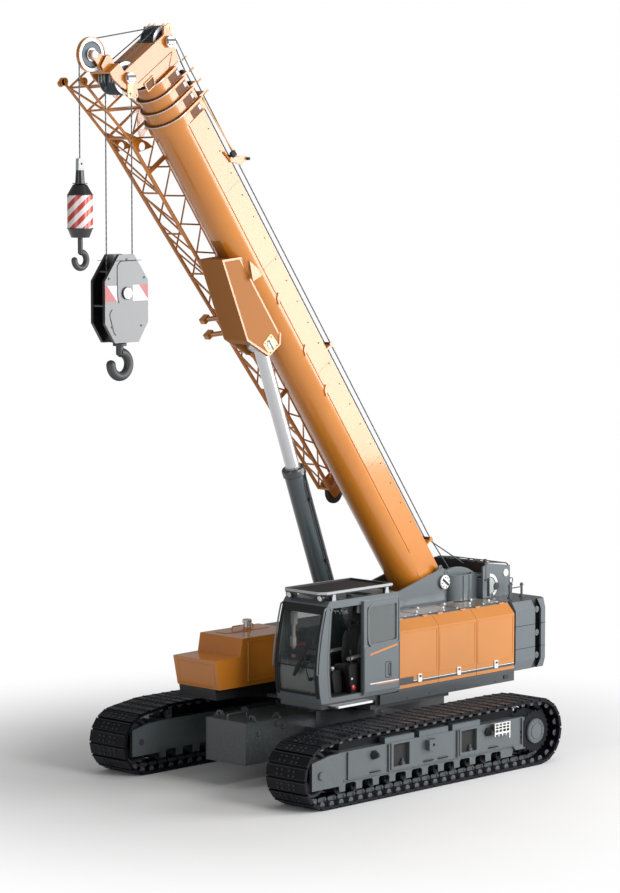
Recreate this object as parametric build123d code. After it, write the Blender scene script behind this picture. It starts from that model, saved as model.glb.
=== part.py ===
from build123d import *
import os
from math import acos, atan2, cos, degrees, hypot, pi, radians, sin

# Telescopic boom crane on two tracks, in millimetres. +X is the way the boom points over the
# front, +Y is the crane's left, +Z is up. The origin is on the ground under the slewing axis.

# Driving sizes: undercarriage
shoe_width = 900
track_gauge = 4400
shoe_count = 62
shoe_thickness = 55
shoe_gap = 34
link_height = 100
link_width = 250
idler_x = 2800
idler_over_shoes = 565
sprocket_x = -2755
sprocket_over_shoes = 600
sprocket_tooth_count = 17
top_run_height = 1214
top_run_front_x = 2200
top_run_rear_x = -2300
beam_width = 600
beam_bottom = 385
beam_top = 897
beam_front_x = 2370
beam_rear_x = -2250
cheek_front_x = 3020
cheek_rear_x = -2610
cheek_thickness = 60
skirt_depth = 175
skirt_thickness = 30
roller_bracket_width = 150
roller_radius = 100
roller_width = 330
roller_count = 11
roller_spacing = 420
carrier_radius = 70
carrier_stations = (2050, -1950)
crossbeam_stations = (790, -980)
crossbeam_width = 460
crossbeam_height = 440
crossbeam_bottom = 440
crossbeam_wall = 25
carbody_length = 5150
carbody_width = 970
carbody_bottom = 430
carbody_top = 1170
lug_inset = 245
ring_radius = 860
ring_wall = 190
ring_joint_height = 1240
ring_gap = 0.5

# Driving sizes: turntable, decks and housings
deck_bottom = 1325
deck_top = 1500
deck_edge_y = 1500
deck_front_x = 250
deck_rear_x = -3370
plate_thickness = 40
slot_half_width = 445
foot_pin_x = -2550
foot_pin_z = 3130
foot_pin_radius = 75
side_plate_front_x = -500
side_plate_rear_x = -3370
rear_plate_y = 600
rear_plate_x = (-3520, -4250)
winch_stations = ((-3060, 2880), (-3840, 2940))
winch_half_widths = (420, 570)
drum_radius = 180
flange_radius = 270
flange_thickness = 30
trunnion_radius = 70
hood_inner_y = 560
hood_front_x = -220
hood_shoulder = 2570
hood_bevel = 180
hood_top = hood_shoulder + hood_bevel
hood_shoulder_y = 1330
hood_door_bottom = 1545
engine_headroom = 235
panel_thickness = 45
door_gap = 8
weight_front_x = -3410
weight_rear_x = -4400
weight_half_width = 1500
weight_corner = 150
weight_levels = (1470, 1885, 2305, 2750)
weight_gap = 0.3
weight_bevels = (1400, 1650, 2590)
weight_slot_x = (-4130, -3960)
weight_recess = (-4150, 580, 2620)
tank_rear_x = 260
tank_inner_y = -430
tank_outer_y = -1500
tank_front = ((2290, 1605), (2400, 2130), (1790, 2140), (1730, 2460))
tank_skirt_front = (2240, 1400)
filler_radius = 75
housing_top = 2460

# Driving sizes: cab
cab_rear_x = -200
cab_front_x = 1740
cab_inner_y = 440
cab_outer_y = 1500
cab_floor = 1520
cab_roof = 3290
cab_wall = 60
cab_door_thickness = 42
cab_door_gap = 6
cab_door_length = 930
cab_door_travel = 860

# Driving sizes: boom, along and across its own axis from the foot pin
boom_angle = 54.3
boom_width = 740
boom_top = 150
boom_bend = -290
boom_wall = 12
section_step = 38
section_count = 5
base_start = 300
base_end = 10700
tail_step = 120
collar_pitch = 230
collar_length = 215
collar_rise = 45
rim_thickness = 35
rim_height = 205
pad_clearance = 0.3
stroke = 8775
upper_pin = (11775, 240)
lower_pin = (11812, -858)
aux_pin = (12475, -1133)
sheave_radius = 275
groove_depth = 36
sheave_pitch = 68
sheave_thickness = 60
groove_half_width = 24
sheave_counts = (5, 6)
pin_radius = 55
pin_clearance = 0.05
head_end = 11480
head_plate_thickness = 40
head_outline = ((11402, 255), (11800, 353), (11906, 393), (12049, 308), (11932, 211), (11955, -870),
                (12130, -890), (12130, -1142), (11990, -1142), (11792, -1070), (11685, -1009),
                (11532, -748), (11495, -577), (11402, -480))
arm_outline = ((12101, -1142), (12101, -890), (12290, -900), (12410, -1020), (12545, -1090),
               (12545, -1176), (12475, -1205), (12380, -1170))
arm_half_width = 125
sheave_side_gap = 13
eye_s = 6200
eye_w = -830
cylinder_foot_x = -470
cylinder_foot_z = 1800
barrel_radius = 190
barrel_length = 3900
rod_radius = 125
cylinder_clearance = 0.3
eye_radius = 150
eye_half_width = 190
fork_half_gap = 205
fork_half_width = 270
rod_insertion = 1350

# Driving sizes: hook gear
rope_radius = 11
rope_clearance = 0.3
block_y = 0
block_width = 972
block_thickness = 350
block_height = 1460
block_drop = 2900
block_sheave_drop = 640
hook_bowl_radius = 200
hook_section_radius = 80
aux_drop = 1880
aux_radius = 210
aux_bowl_radius = 130
aux_section_radius = 52


def block(x_low, x_high, y_low, y_high, z_low, z_high):
    """Straight-sided block between two corners."""
    middle = ((x_low + x_high) / 2, (y_low + y_high) / 2, (z_low + z_high) / 2)
    return Pos(*middle) * Box(abs(x_high - x_low), abs(y_high - y_low), abs(z_high - z_low))


def side_plate(outline, y_low, y_high):
    """Plate whose outline, corners of (x, z), is seen from the side."""
    face = make_face(Polyline(*outline, close=True))
    return extrude(Plane.XZ.offset(-y_high) * face, y_high - y_low)


def floor_plate(outline, z_low, z_high):
    """Plate whose outline, corners of (x, y), is seen from above."""
    face = make_face(Polyline(*outline, close=True))
    return extrude(Pos(0, 0, z_low) * face, z_high - z_low)


def front_plate(outline, x_low, x_high):
    """Plate whose outline, corners of (y, z), is seen from the front."""
    face = make_face(Polyline(*outline, close=True))
    return extrude(Plane.YZ.offset(x_low) * face, x_high - x_low)


def cross_shaft(x, z, radius, y_low, y_high):
    """Round shaft along Y."""
    return Pos(x, (y_low + y_high) / 2, z) * Rot(90, 0, 0) * Cylinder(radius, y_high - y_low)


def upright(x, y, radius, z_low, z_high):
    """Round post along Z."""
    return Pos(x, y, (z_low + z_high) / 2) * Cylinder(radius, z_high - z_low)


def turned(profile, x, y, z):
    """Solid turned about an axis along Y through (x, y, z); profile is (radius, y) corners."""
    face = make_face(Polyline(*profile, close=True))
    return Pos(x, y, z) * revolve(face, Axis.Y)


def mirrored(shape):
    """The same piece on the other side of the crane."""
    return mirror(shape, Plane.XZ)


boom_place = Pos(foot_pin_x, 0, foot_pin_z) * Rot(0, -boom_angle, 0)


def boom_point(s, w):
    """World (x, z) of a point s along and w across the boom."""
    turn = radians(boom_angle)
    x = foot_pin_x + s * cos(turn) - w * sin(turn)
    return x, foot_pin_z + s * sin(turn) + w * cos(turn)


# Undercarriage: the track's path is followed by its outer face, clockwise seen from the left


def tangent_turn(x, z, radius, point_x, point_z, side):
    """Angle on a circle where a line from an outside point touches it."""
    reach = hypot(point_x - x, point_z - z)
    return atan2(point_z - z, point_x - x) + side * acos(radius / reach)


def track_runs():
    """Straight and round runs of the track's outer face, from the lowest sprocket point."""
    front_turn = tangent_turn(idler_x, idler_over_shoes, idler_over_shoes,
                              top_run_front_x, top_run_height, -1)
    rear_turn = tangent_turn(sprocket_x, sprocket_over_shoes, sprocket_over_shoes,
                             top_run_rear_x, top_run_height, 1)
    front_touch = (idler_x + idler_over_shoes * cos(front_turn),
                   idler_over_shoes + idler_over_shoes * sin(front_turn))
    rear_touch = (sprocket_x + sprocket_over_shoes * cos(rear_turn),
                  sprocket_over_shoes + sprocket_over_shoes * sin(rear_turn))
    return [
        ("line", (sprocket_x, 0), (idler_x, 0)),
        ("arc", (idler_x, idler_over_shoes), idler_over_shoes, -pi / 2, front_turn),
        ("line", front_touch, (top_run_front_x, top_run_height)),
        ("line", (top_run_front_x, top_run_height), (top_run_rear_x, top_run_height)),
        ("line", (top_run_rear_x, top_run_height), rear_touch),
        ("arc", (sprocket_x, sprocket_over_shoes), sprocket_over_shoes, rear_turn, 1.5 * pi),
    ]


def run_length(run):
    if run[0] == "line":
        return hypot(run[2][0] - run[1][0], run[2][1] - run[1][1])
    return run[2] * (run[4] - run[3])


def track_point(distance, depth):
    """Point on the track, at a distance along its outer face and a depth inside it."""
    runs = track_runs()
    distance %= sum(run_length(run) for run in runs)
    for run in runs:
        length = run_length(run)
        if distance <= length:
            break
        distance -= length
    share = distance / length
    if run[0] == "line":
        (x0, z0), (x1, z1) = run[1:]
        out_x, out_z = (z1 - z0) / length, -(x1 - x0) / length
        return x0 + share * (x1 - x0) - depth * out_x, z0 + share * (z1 - z0) - depth * out_z
    turn = run[3] + share * (run[4] - run[3])
    reach = run[2] - depth
    return run[1][0] + reach * cos(turn), run[1][1] + reach * sin(turn)


def track(y):
    """One closed track: flat shoes with open joints, and the link chain inside them."""
    pitch = sum(run_length(run) for run in track_runs()) / shoe_count
    shoes, links, shoe_back = [], [], []
    for i in range(shoe_count):
        start, end = i * pitch + shoe_gap / 2, (i + 1) * pitch - shoe_gap / 2
        shoes += [track_point(start, 0), track_point(end, 0)]
        shoes += [track_point(end, shoe_thickness * 0.6),
                  track_point(end + shoe_gap, shoe_thickness * 0.6)]
        shoe_back.append(track_point(i * pitch, shoe_thickness))
        links += [track_point(start, shoe_thickness + link_height),
                  track_point(end - pitch / 4, shoe_thickness + link_height),
                  track_point(end - pitch / 4, shoe_thickness + link_height / 3),
                  track_point(end, shoe_thickness + link_height / 3)]
    half = shoe_width / 2
    band = side_plate(shoes, y - half, y + half) - side_plate(shoe_back, y - half, y + half)
    half = link_width / 2
    chain = side_plate(shoe_back, y - half, y + half) - side_plate(links, y - half, y + half)
    return band + chain


def track_frames():
    """Long box beam that carries the wheels between two cheeks, with sockets for the crossbeams."""
    inner, outer = (track_gauge - beam_width) / 2, (track_gauge + beam_width) / 2
    frame = block(beam_rear_x, beam_front_x, inner, outer, beam_bottom, beam_top)
    cheek = [(cheek_rear_x, 313), (cheek_rear_x, beam_top - 54), (cheek_rear_x + 170, beam_top),
             (beam_front_x - 150, beam_top), (cheek_front_x - 430, beam_top - 18),
             (cheek_front_x, 800), (cheek_front_x, 326), (beam_front_x - 60, 326),
             (beam_front_x - 120, beam_bottom), (beam_rear_x + 60, beam_bottom),
             (beam_rear_x, 313)]
    skirt = [(beam_rear_x, beam_bottom), (beam_rear_x + 60, beam_bottom - skirt_depth),
             (beam_front_x - 70, beam_bottom - skirt_depth), (beam_front_x - 30, beam_bottom)]
    drive = {inner: drive_inner_radius, outer - cheek_thickness: drive_cover_radius}
    for y in drive:
        side = side_plate(cheek, y, y + cheek_thickness)
        side -= cross_shaft(sprocket_x, sprocket_over_shoes, drive[y], y - 1, y + cheek_thickness + 1)
        frame += side
    brackets = Part() + [side_plate(skirt, y, y + skirt_thickness)
                         for y in (inner + 40, outer - 40 - skirt_thickness)]
    for x in roller_stations()[:-1]:
        gap = (roller_spacing - roller_bracket_width) / 2
        middle = x + roller_spacing / 2
        brackets -= side_plate([(middle - gap, 100), (middle - gap, beam_bottom - 70),
                                (middle - gap + 30, beam_bottom - 40),
                                (middle + gap - 30, beam_bottom - 40),
                                (middle + gap, beam_bottom - 70), (middle + gap, 100)], inner, outer)
    frame += brackets
    for x in crossbeam_stations:
        half = crossbeam_width / 2
        frame -= block(x - half, x + half, inner - 1, outer + 1,
                       crossbeam_bottom, crossbeam_bottom + crossbeam_height)
    frame -= cross_shaft(idler_x, idler_over_shoes, axle_radius, inner - 1, outer + 1)
    for x in carrier_stations:
        frame += block(x - 60, x + 60, track_gauge / 2 - 230, track_gauge / 2 - 170,
                       beam_top - 1, carrier_height(x) + 60)
        frame -= cross_shaft(x, carrier_height(x), 30, inner, track_gauge / 2 - 100)
    for x in step_stations:
        for z in (700, 850):
            frame += block(x, x + 380, outer, outer + 110, z, z + 30)
        for end in (x, x + 355):
            frame += block(end, end + 25, outer, outer + 110, 701, 879)
    x, z = tow_lug
    lug = block(x - 110, x + 110, outer + 60, outer + 100, z - 90, z + 90)
    lug += block(x - 110, x - 75, outer - 1, outer + 61, z - 90, z + 90)
    lug += block(x + 75, x + 110, outer - 1, outer + 61, z - 90, z + 90)
    return frame + (lug - cross_shaft(x, z, tow_hole_radius, outer + 50, outer + 110))


axle_radius = 60
drive_inner_radius = 262
drive_cover_radius = 235
tow_lug = (64, 740)
tow_hole_radius = 28
step_stations = (-1940,)


def roller_stations():
    first = -roller_spacing * (roller_count - 1) / 2 + 140
    return [first + i * roller_spacing for i in range(roller_count)]


def carrier_height(x):
    return top_run_height - shoe_thickness - link_height - carrier_radius - cylinder_clearance


def crossbeams():
    """Hollow beams that slide in the carbody and the track frames."""
    tip, wall = (track_gauge + beam_width) / 2, crossbeam_wall
    low, high = crossbeam_bottom, crossbeam_bottom + crossbeam_height
    tubes = []
    for x in crossbeam_stations:
        half = crossbeam_width / 2
        tube = block(x - half, x + half, -tip, tip, low, high)
        tube -= block(x - half + wall, x + half - wall, -tip - 1, tip + 1, low + wall, high - wall)
        tubes.append(tube)
    return Compound(children=tubes)


def carbody():
    """Central longitudinal box with the lower half of the slewing ring on top."""
    half = carbody_length / 2
    body = block(-half, half, -carbody_width / 2, carbody_width / 2, carbody_bottom, carbody_top)
    pedestal_low = crossbeam_bottom + crossbeam_height + 10
    body += upright(0, 0, ring_radius + 90, pedestal_low, carbody_top)
    for x in crossbeam_stations:
        body += block(x - 300, x + 300, -960, 960, carbody_bottom - 20, pedestal_low + 40)
    ring = upright(0, 0, ring_radius, carbody_top - 1, ring_joint_height)
    ring -= upright(0, 0, ring_radius - ring_wall, carbody_top, ring_joint_height + 1)
    body += ring
    for x in crossbeam_stations:
        half = crossbeam_width / 2
        body -= block(x - half, x + half, -2000, 2000,
                      crossbeam_bottom, crossbeam_bottom + crossbeam_height)
    lug = front_plate([(-110, carbody_top - 1), (110, carbody_top - 1), (45, carbody_top + 100),
                       (-45, carbody_top + 100)], -20, 20)
    lug -= Pos(0, 0, carbody_top + 50) * Rot(0, 90, 0) * Cylinder(26, 60)
    for end in (1, -1):
        for side in (1, -1):
            body += Pos(end * (carbody_length / 2 - lug_inset), side * (carbody_width / 2 - 90), 0) * lug
    return body


def idler():
    """Front wheel with its axle."""
    rim, middle = idler_over_shoes - shoe_thickness - link_height - 9, track_gauge / 2
    profile = [(0, -100), (150, -100), (150, -60), (rim - 90, -40), (rim - 50, -95), (rim, -95),
               (rim, 95), (rim - 50, 95), (rim - 90, 40), (150, 60), (150, 100), (0, 100)]
    wheel = turned(profile, idler_x, middle, idler_over_shoes)
    wheel += cross_shaft(idler_x, idler_over_shoes, axle_radius, middle - beam_width / 2,
                         middle + beam_width / 2)
    return wheel


def sprocket():
    """Toothed driving wheel with its round final drive."""
    teeth, rim = sprocket_tooth_count, sprocket_over_shoes - shoe_thickness - link_height - 10
    disc = cross_shaft(0, 0, rim - 50, -45, 45)
    for i in range(teeth):
        tooth = side_plate([(-45, rim - 90), (45, rim - 90), (22, rim), (-22, rim)], -32, 32)
        disc += Rot(0, 360 * i / teeth, 0) * tooth
    disc += cross_shaft(0, 0, drive_cover_radius, 44, 300)
    disc += cross_shaft(0, 0, drive_cover_radius - 45, 299, 330)
    disc += cross_shaft(0, 0, drive_inner_radius, -300, -44)
    return Pos(sprocket_x, track_gauge / 2, sprocket_over_shoes) * disc


def track_rollers():
    """Rollers under the beam and two above it that carry the upper run."""
    half, r, middle = beam_width / 2 - 40 - skirt_thickness, roller_radius, track_gauge / 2
    z, wide = shoe_thickness + link_height + r + cylinder_clearance, roller_width / 2
    profile = [(0, -half), (32, -half), (32, -wide), (r, -wide), (r, wide), (32, wide), (32, half),
               (0, half)]
    rollers = [turned(profile, x, middle, z) for x in roller_stations()]
    for x in carrier_stations:
        roller = cross_shaft(x, carrier_height(x), carrier_radius, middle - 170, middle + 120)
        rollers.append(roller + cross_shaft(x, carrier_height(x), 30, middle - 230, middle - 169))
    return rollers


# Superstructure


def turntable():
    """Floor of the superstructure with the ring's upper half and the lifting cylinder's bracket."""
    body = block(deck_rear_x + 5, 1000, -hood_inner_y, hood_inner_y, deck_bottom, deck_floor)
    body += upright(0, 0, ring_radius + 60, ring_joint_height + ring_gap, deck_bottom)
    body += block(-1650, 420, -1420, 1420, ring_joint_height + 10, deck_bottom)
    body += block(weight_carrier_x, deck_rear_x + 65, -slot_half_width + 25, slot_half_width - 25,
                  deck_floor, weight_levels[0])
    for side in (1, -1):
        ear = side_plate([(cylinder_foot_x - 420, deck_floor - 1), (cylinder_foot_x + 330, deck_floor - 1),
                          (cylinder_foot_x + 150, cylinder_foot_z + 120),
                          (cylinder_foot_x - 150, cylinder_foot_z + 120)], 250, 300)
        ear -= cross_shaft(cylinder_foot_x, cylinder_foot_z, 75, 200, 350)
        body += ear if side == 1 else mirrored(ear)
    return body


deck_floor = deck_bottom + 60
weight_carrier_x = -3900


def winch_frame():
    """Upright side plates that hold the boom foot, and a narrower pair behind for the rear winch."""
    inner, t, low = slot_half_width, plate_thickness, deck_floor
    high = weight_levels[-1] - weight_gap
    front, rear = side_plate_front_x, side_plate_rear_x
    outline = Polyline((rear, low), (front, low), (front, 2650), (-1260, 3056), (-2363, 3334),
                       (-2455, 3438), (-2625, 3330))
    outline += ThreePointArc((-2625, 3330), (-2960, 3370), (rear_plate_x[0], 3140))
    outline += Polyline((rear_plate_x[0], 3140), (rear_plate_x[0], high), (rear, high), (rear, low))
    plate = extrude(Plane.XZ.offset(-inner - t) * make_face(outline), t)
    plate += cross_shaft(foot_pin_x, foot_pin_z, foot_pin_radius, inner - 135, inner + 1)
    plate += cross_shaft(foot_pin_x, foot_pin_z, 130, inner + t - 1, inner + t + 35)
    rear_outline = [(rear_plate_x[0] + t, high), (rear_plate_x[0] + t, 3330), (-3640, 3380),
                    (rear_plate_x[1], 3290), (rear_plate_x[1], high)]
    plate += side_plate(rear_outline, rear_plate_y, rear_plate_y + t)
    plate += block(rear_plate_x[0], rear_plate_x[0] + t, 0, rear_plate_y + t, high, 3100)
    for (x, z), y in zip(winch_stations, (inner, rear_plate_y)):
        plate -= cross_shaft(x, z, trunnion_radius, y - 1, y + t + 1)
    plate += block(-1500, -1350, 0, inner + 1, low, 1900)
    guard = side_plate([(rear_plate_x[0] + 1, 3110), (rear_plate_x[0] + 1, 3375), (-2480, 3520),
                        (-2480, 3420), (-3100, 3110)], -rear_plate_y - t, -rear_plate_y)
    return plate + mirrored(plate) + guard


def winch(station, half, plate_y):
    """Rope drum between two round flanges, its trunnions in the side plates."""
    f, r, t = flange_radius, drum_radius, flange_thickness
    profile = [(0, -half), (f, -half), (f, -half + t), (r, -half + t), (r, half - t), (f, half - t),
               (f, half), (0, half)]
    drum = turned(profile, station[0], 0, station[1])
    reach = plate_y + plate_thickness + 25
    return drum + cross_shaft(*station, trunnion_radius, -reach, reach)


def winches():
    front, rear = winch_stations
    return Compound(children=[winch(front, winch_half_widths[0], slot_half_width),
                              winch(rear, winch_half_widths[1], rear_plate_y)])


def side_decks():
    """Floors and edge beams on both sides, and the cab's carrier."""
    left = block(deck_rear_x, deck_front_x, hood_inner_y, deck_edge_y, deck_bottom, deck_floor)
    left += block(deck_rear_x, deck_front_x, deck_edge_y - 60, deck_edge_y, deck_bottom, deck_top)
    left += block(deck_rear_x, deck_rear_x + 60, hood_inner_y, deck_edge_y, deck_bottom, deck_top)
    right = mirrored(left)
    left += block(-150, 310, hood_inner_y, 1440, deck_bottom, cab_floor)
    left += block(300, cab_front_x - 60, cab_inner_y + 20, cab_outer_y - 60, cab_floor - 110, cab_floor)
    left += block(560, 1500, 1430, cab_outer_y + 130, cab_floor - 90, cab_floor - 60)
    return Compound(children=[left, right])


def hood_section(grow, floor):
    """Outline of the left housing seen from the front, pulled in by a wall."""
    y0, y1 = hood_inner_y + grow, deck_edge_y - grow
    return [(y0, floor), (y1, floor), (y1, hood_shoulder - grow / 2),
            (hood_shoulder_y - grow / 2, hood_top - grow), (y0, hood_top - grow)]


def engine_hood():
    """Left housing: a shell open to the deck and on its outer side, where three doors close it."""
    wall, t = panel_thickness, door_thickness
    shell = front_plate(hood_section(0, deck_top), deck_rear_x, hood_front_x)
    shell -= front_plate(hood_section(wall, deck_top - 1), deck_rear_x + wall, hood_front_x - wall)
    low, edge, out = hood_door_bottom - 5, hood_shoulder_y + 2, deck_edge_y + 1
    shell -= front_plate([(edge, hood_top + 1), (edge, low), (out, low), (out, hood_top + 1)],
                         deck_rear_x + wall, hood_front_x - wall)
    back = deck_edge_y - t - 6
    shell -= front_plate([(edge, hood_top + 1), (edge, hood_top - 70), (back, hood_shoulder - 30),
                          (back, low), (out, low), (out, hood_top + 1)],
                         deck_rear_x - 1, hood_front_x + 1)
    for x in hinge_stations():
        shell += Pos(x, *hinge_axis) * Rot(0, 90, 0) * Cylinder(hinge_pin_radius, 150)
        for end in (x - 65, x + 65):
            shell += Pos(end, *hinge_axis) * Rot(0, 90, 0) * Cylinder(hinge_radius, 20)
            shell += block(end - 10, end + 10, hood_shoulder_y - 50, hinge_axis[0], hood_top - 1,
                           hinge_axis[1] + 4)
    return shell


hinge_axis = (hood_shoulder_y + 16, hood_top + 8)
hinge_radius, hinge_pin_radius = 12, 7


def hinge_stations():
    """Two hinges along the top edge of each engine door."""
    doors = zip(door_splits, door_splits[1:])
    return [x for high, low in doors for x in (high - 200, low + 200)]


door_thickness = 40
door_splits = (-220, -1282, -2317, -3370)


def engine_door(number):
    """One top-hinged door with its bent upper edge."""
    t, y_top, y_out = door_thickness, hood_shoulder_y + door_gap, deck_edge_y
    outline = [(y_out, hood_door_bottom), (y_out, hood_shoulder), (y_top, hood_top - 6),
               (y_top, hood_top - 54), (y_out - t, hood_shoulder - 18), (y_out - t, hood_door_bottom)]
    high, low = door_splits[number], door_splits[number + 1]
    door = front_plate(outline, low + door_gap / 2, high - door_gap / 2)
    for x in (high - 200, low + 200):
        door += Pos(x, *hinge_axis) * Rot(0, 90, 0) * Cylinder(hinge_radius, 100)
        door += block(x - 50, x + 50, hinge_axis[0] - 6, hinge_axis[0] + 10, hood_top - 20, hinge_axis[1])
        door -= Pos(x, *hinge_axis) * Rot(0, 90, 0) * Cylinder(hinge_pin_radius + pin_clearance, 110)
    return door


def engine():
    """Engine and pumps as one plain block on the deck."""
    top = hood_shoulder - engine_headroom
    return block(-2500, -1000, hood_inner_y + 120, deck_edge_y - 240, deck_floor, top)


def right_housing():
    """Closed housing behind the tank, lower than the left one."""
    y0, y1 = hood_inner_y, deck_edge_y
    outline = [(-y0, deck_top), (-y1, deck_top), (-y1, housing_top - 150), (-y1 + 110, housing_top),
               (-y0, housing_top)]
    return front_plate(outline, deck_rear_x, tank_rear_x - 20)


def fuel_tank():
    """Stepped tank at the right front, its front leaning out to the fold."""
    tank = side_plate([(tank_rear_x, tank_front[0][1]), *tank_front, (tank_rear_x, tank_front[-1][1])],
                      tank_outer_y, tank_inner_y)
    return tank + upright(900, -1150, filler_radius, tank_front[-1][1] - 1, tank_front[-1][1] + 45)


def tank_skirt():
    """Dark carrier under the tank."""
    x, z = tank_skirt_front
    profile = [(tank_rear_x, deck_bottom), (tank_rear_x + 700, deck_bottom), (x - 500, z), (x, z),
               (tank_front[0][0] - 15, tank_front[0][1]), (tank_rear_x, tank_front[0][1])]
    return side_plate(profile, tank_outer_y + 20, -hood_inner_y - 10)


def counterweight():
    """Three cast slabs with cut corners, side recesses and lifting lugs."""
    c, half, rear, front = weight_corner, weight_half_width, weight_rear_x, weight_front_x
    outline = [(front, -half), (rear + c, -half), (rear, -half + c * 1.6), (rear, half - c * 1.6),
               (rear + c, half), (front, half)]
    recess_x, recess_y, recess_z = weight_recess
    low_half, bevel_low, bevel_high = weight_bevels
    low, high = weight_levels[0], weight_levels[-1]
    section = [(side * y, z) for side, points in (
        (1, ((low_half, low), (half, bevel_low), (half, bevel_high), (low_half, high))),
        (-1, ((low_half, high), (half, bevel_high), (half, bevel_low), (low_half, low)))) for y, z in points]
    bevelled = front_plate(section, rear, front)
    slot_low, slot_high = weight_slot_x
    slabs = []
    for z_low, z_high in zip(weight_levels, weight_levels[1:]):
        slab = floor_plate(outline, z_low, z_high - weight_gap) & bevelled
        for side in (1, -1):
            cut = block(slot_low, slot_high, half - 120, half + 1, z_low - 1, z_high + 1)
            lug = cross_shaft((slot_low + slot_high) / 2, (z_low + z_high) / 2 + 40, 58, half - 121,
                              half - 30)
            slab -= cut if side == 1 else mirrored(cut)
            slab += lug if side == 1 else mirrored(lug)
        slab -= block(recess_x, front + 1, -recess_y, recess_y, recess_z, z_high + 1)
        slabs.append(slab)
    return Compound(children=slabs)


# Cab

cab_front = ((cab_front_x, cab_floor), (cab_front_x + 65, cab_floor + 420),
             (cab_front_x + 60, cab_floor + 700), (cab_front_x - 50, cab_floor + 1350),
             (cab_front_x - 150, cab_roof - cab_wall))


def cab_solid(inset, y_low, y_high):
    """Side view of the cab with its curved front, pulled in by a wall and given a width."""
    rear, low, high = cab_rear_x + inset, cab_floor + inset, cab_roof - inset
    front = [(x - inset, min(max(z, low), high)) for x, z in cab_front]
    line = Polyline((front[4][0], front[4][1]), (front[4][0] - 55, high), (rear, high), (rear, low),
                    front[0]) if inset < cab_wall else Polyline(front[4], (rear, high), (rear, low),
                                                                front[0])
    line += ThreePointArc(front[0], front[1], front[2])
    line += ThreePointArc(front[2], front[3], front[4])
    return extrude(Plane.XZ.offset(-y_high) * make_face(line), y_high - y_low)


door_y = cab_outer_y + cab_door_gap
rail_clearance = 0.3
pane_thickness = 8
front_pane = (cab_inner_y + 70, cab_outer_y - 70, cab_floor + 130, cab_roof - 130)
rear_pane = (cab_inner_y + 130, cab_outer_y - 130, 2300, 3080)
roof_pane = (300, 1300, cab_inner_y + 130, cab_outer_y - 130)
side_panes = (
    # y of the wall's middle, x_low, x_high, z_low, z_high
    (cab_inner_y + cab_wall / 2, -60, 1450, 2080, 3110),
    (cab_outer_y - cab_wall / 2, -90, 560, 2200, 3110),
)
doorway = (690, 1530, cab_floor + cab_wall, cab_roof - 130)


def cab_shell():
    """Hollow cab with its windows and doorway cut through the walls."""
    shell = cab_solid(0, cab_inner_y, cab_outer_y)
    shell -= cab_solid(cab_wall, cab_inner_y + cab_wall, cab_outer_y - cab_wall)
    y0, y1, z0, z1 = front_pane
    shell -= block(cab_front_x - 290, cab_front_x + 200, y0, y1, z0, z1)
    y0, y1, z0, z1 = rear_pane
    shell -= block(cab_rear_x - 1, cab_rear_x + cab_wall + 1, y0, y1, z0, z1)
    x0, x1, y0, y1 = roof_pane
    shell -= block(x0, x1, y0, y1, cab_roof - cab_wall - 1, cab_roof + 1)
    reach = cab_wall / 2 + 1
    for y, x0, x1, z0, z1 in side_panes:
        shell -= block(x0, x1, y - reach, y + reach, z0, z1)
    x0, x1, z0, z1 = doorway
    shell -= block(x0, x1, cab_outer_y - cab_wall - 1, cab_outer_y + 1, z0, z1)
    rail_y = door_y - rail_clearance
    for z_low, z_high in ((z0 - 13, z0 - 1), (z1 + 12, z1 + 50)):
        shell += block(cab_rear_x + 10, x1 + 30, cab_outer_y, rail_y, z_low, z_high)
    return shell


def cab_glass():
    """Panes set in the middle of the walls."""
    middle, t = (cab_wall - pane_thickness) / 2, pane_thickness
    y0, y1, z0, z1 = front_pane
    front = cab_solid(middle, y0, y1) - cab_solid(middle + t, y0 - 1, y1 + 1)
    panes = [front & block(cab_front_x - 290, cab_front_x + 200, y0, y1, z0, z1)]
    y0, y1, z0, z1 = rear_pane
    panes.append(block(cab_rear_x + middle, cab_rear_x + middle + t, y0, y1, z0, z1))
    x0, x1, y0, y1 = roof_pane
    panes.append(block(x0, x1, y0, y1, cab_roof - middle - t, cab_roof - middle))
    for y, x0, x1, z0, z1 in side_panes:
        panes.append(block(x0, x1, y - t / 2, y + t / 2, z0, z1))
    return Compound(children=panes)


door_window = (-110, 640, 2160, 3100)


def cab_door():
    """Sliding door, which stands open over the rear of the cab's side."""
    x, y, t = cab_rear_x + 5, door_y, cab_door_thickness
    door = block(x, x + cab_door_length, y, y + t, cab_floor + 45, cab_roof - 70)
    x0, x1, z0, z1 = door_window
    return door - block(x0, x1, y - 1, y + t + 1, z0, z1)


def cab_door_glass():
    y = door_y + (cab_door_thickness - pane_thickness) / 2
    x0, x1, z0, z1 = door_window
    return block(x0, x1, y, y + pane_thickness, z0, z1)


def cab_roof_guard():
    """Flat guard over the roof: a ribbed plate in a frame, on short feet."""
    x0, x1, y0, y1, z = *roof_guard_x, *roof_guard_y, cab_roof + roof_guard_lift
    corner, rim, t = 110, 45, 12
    outline = [(x0, y0), (x1 - corner, y0), (x1, y0 + corner), (x1, y1 - corner), (x1 - corner, y1), (x0, y1)]
    inner = [(x0 + rim, y0 + rim), (x1 - corner, y0 + rim), (x1 - rim, y0 + corner),
             (x1 - rim, y1 - corner), (x1 - corner, y1 - rim), (x0 + rim, y1 - rim)]
    guard = floor_plate(outline, z, z + 60) - floor_plate(inner, z + t, z + 61)
    for i in range(6):
        x = x0 + 180 + i * (x1 - x0 - 400) / 5
        guard += block(x, x + 40, y0 + 60, y1 - 60, z + t - 1, z + t + 18)
    for x in (x0 + 60, x1 - 330):
        for y in (y0 + 40, y1 - 80):
            guard += block(x, x + 90, y, y + 40, cab_roof, z + 1)
    return guard


roof_guard_x, roof_guard_y = (-80, 1690), (470, 1470)
roof_guard_lift = 100


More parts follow.
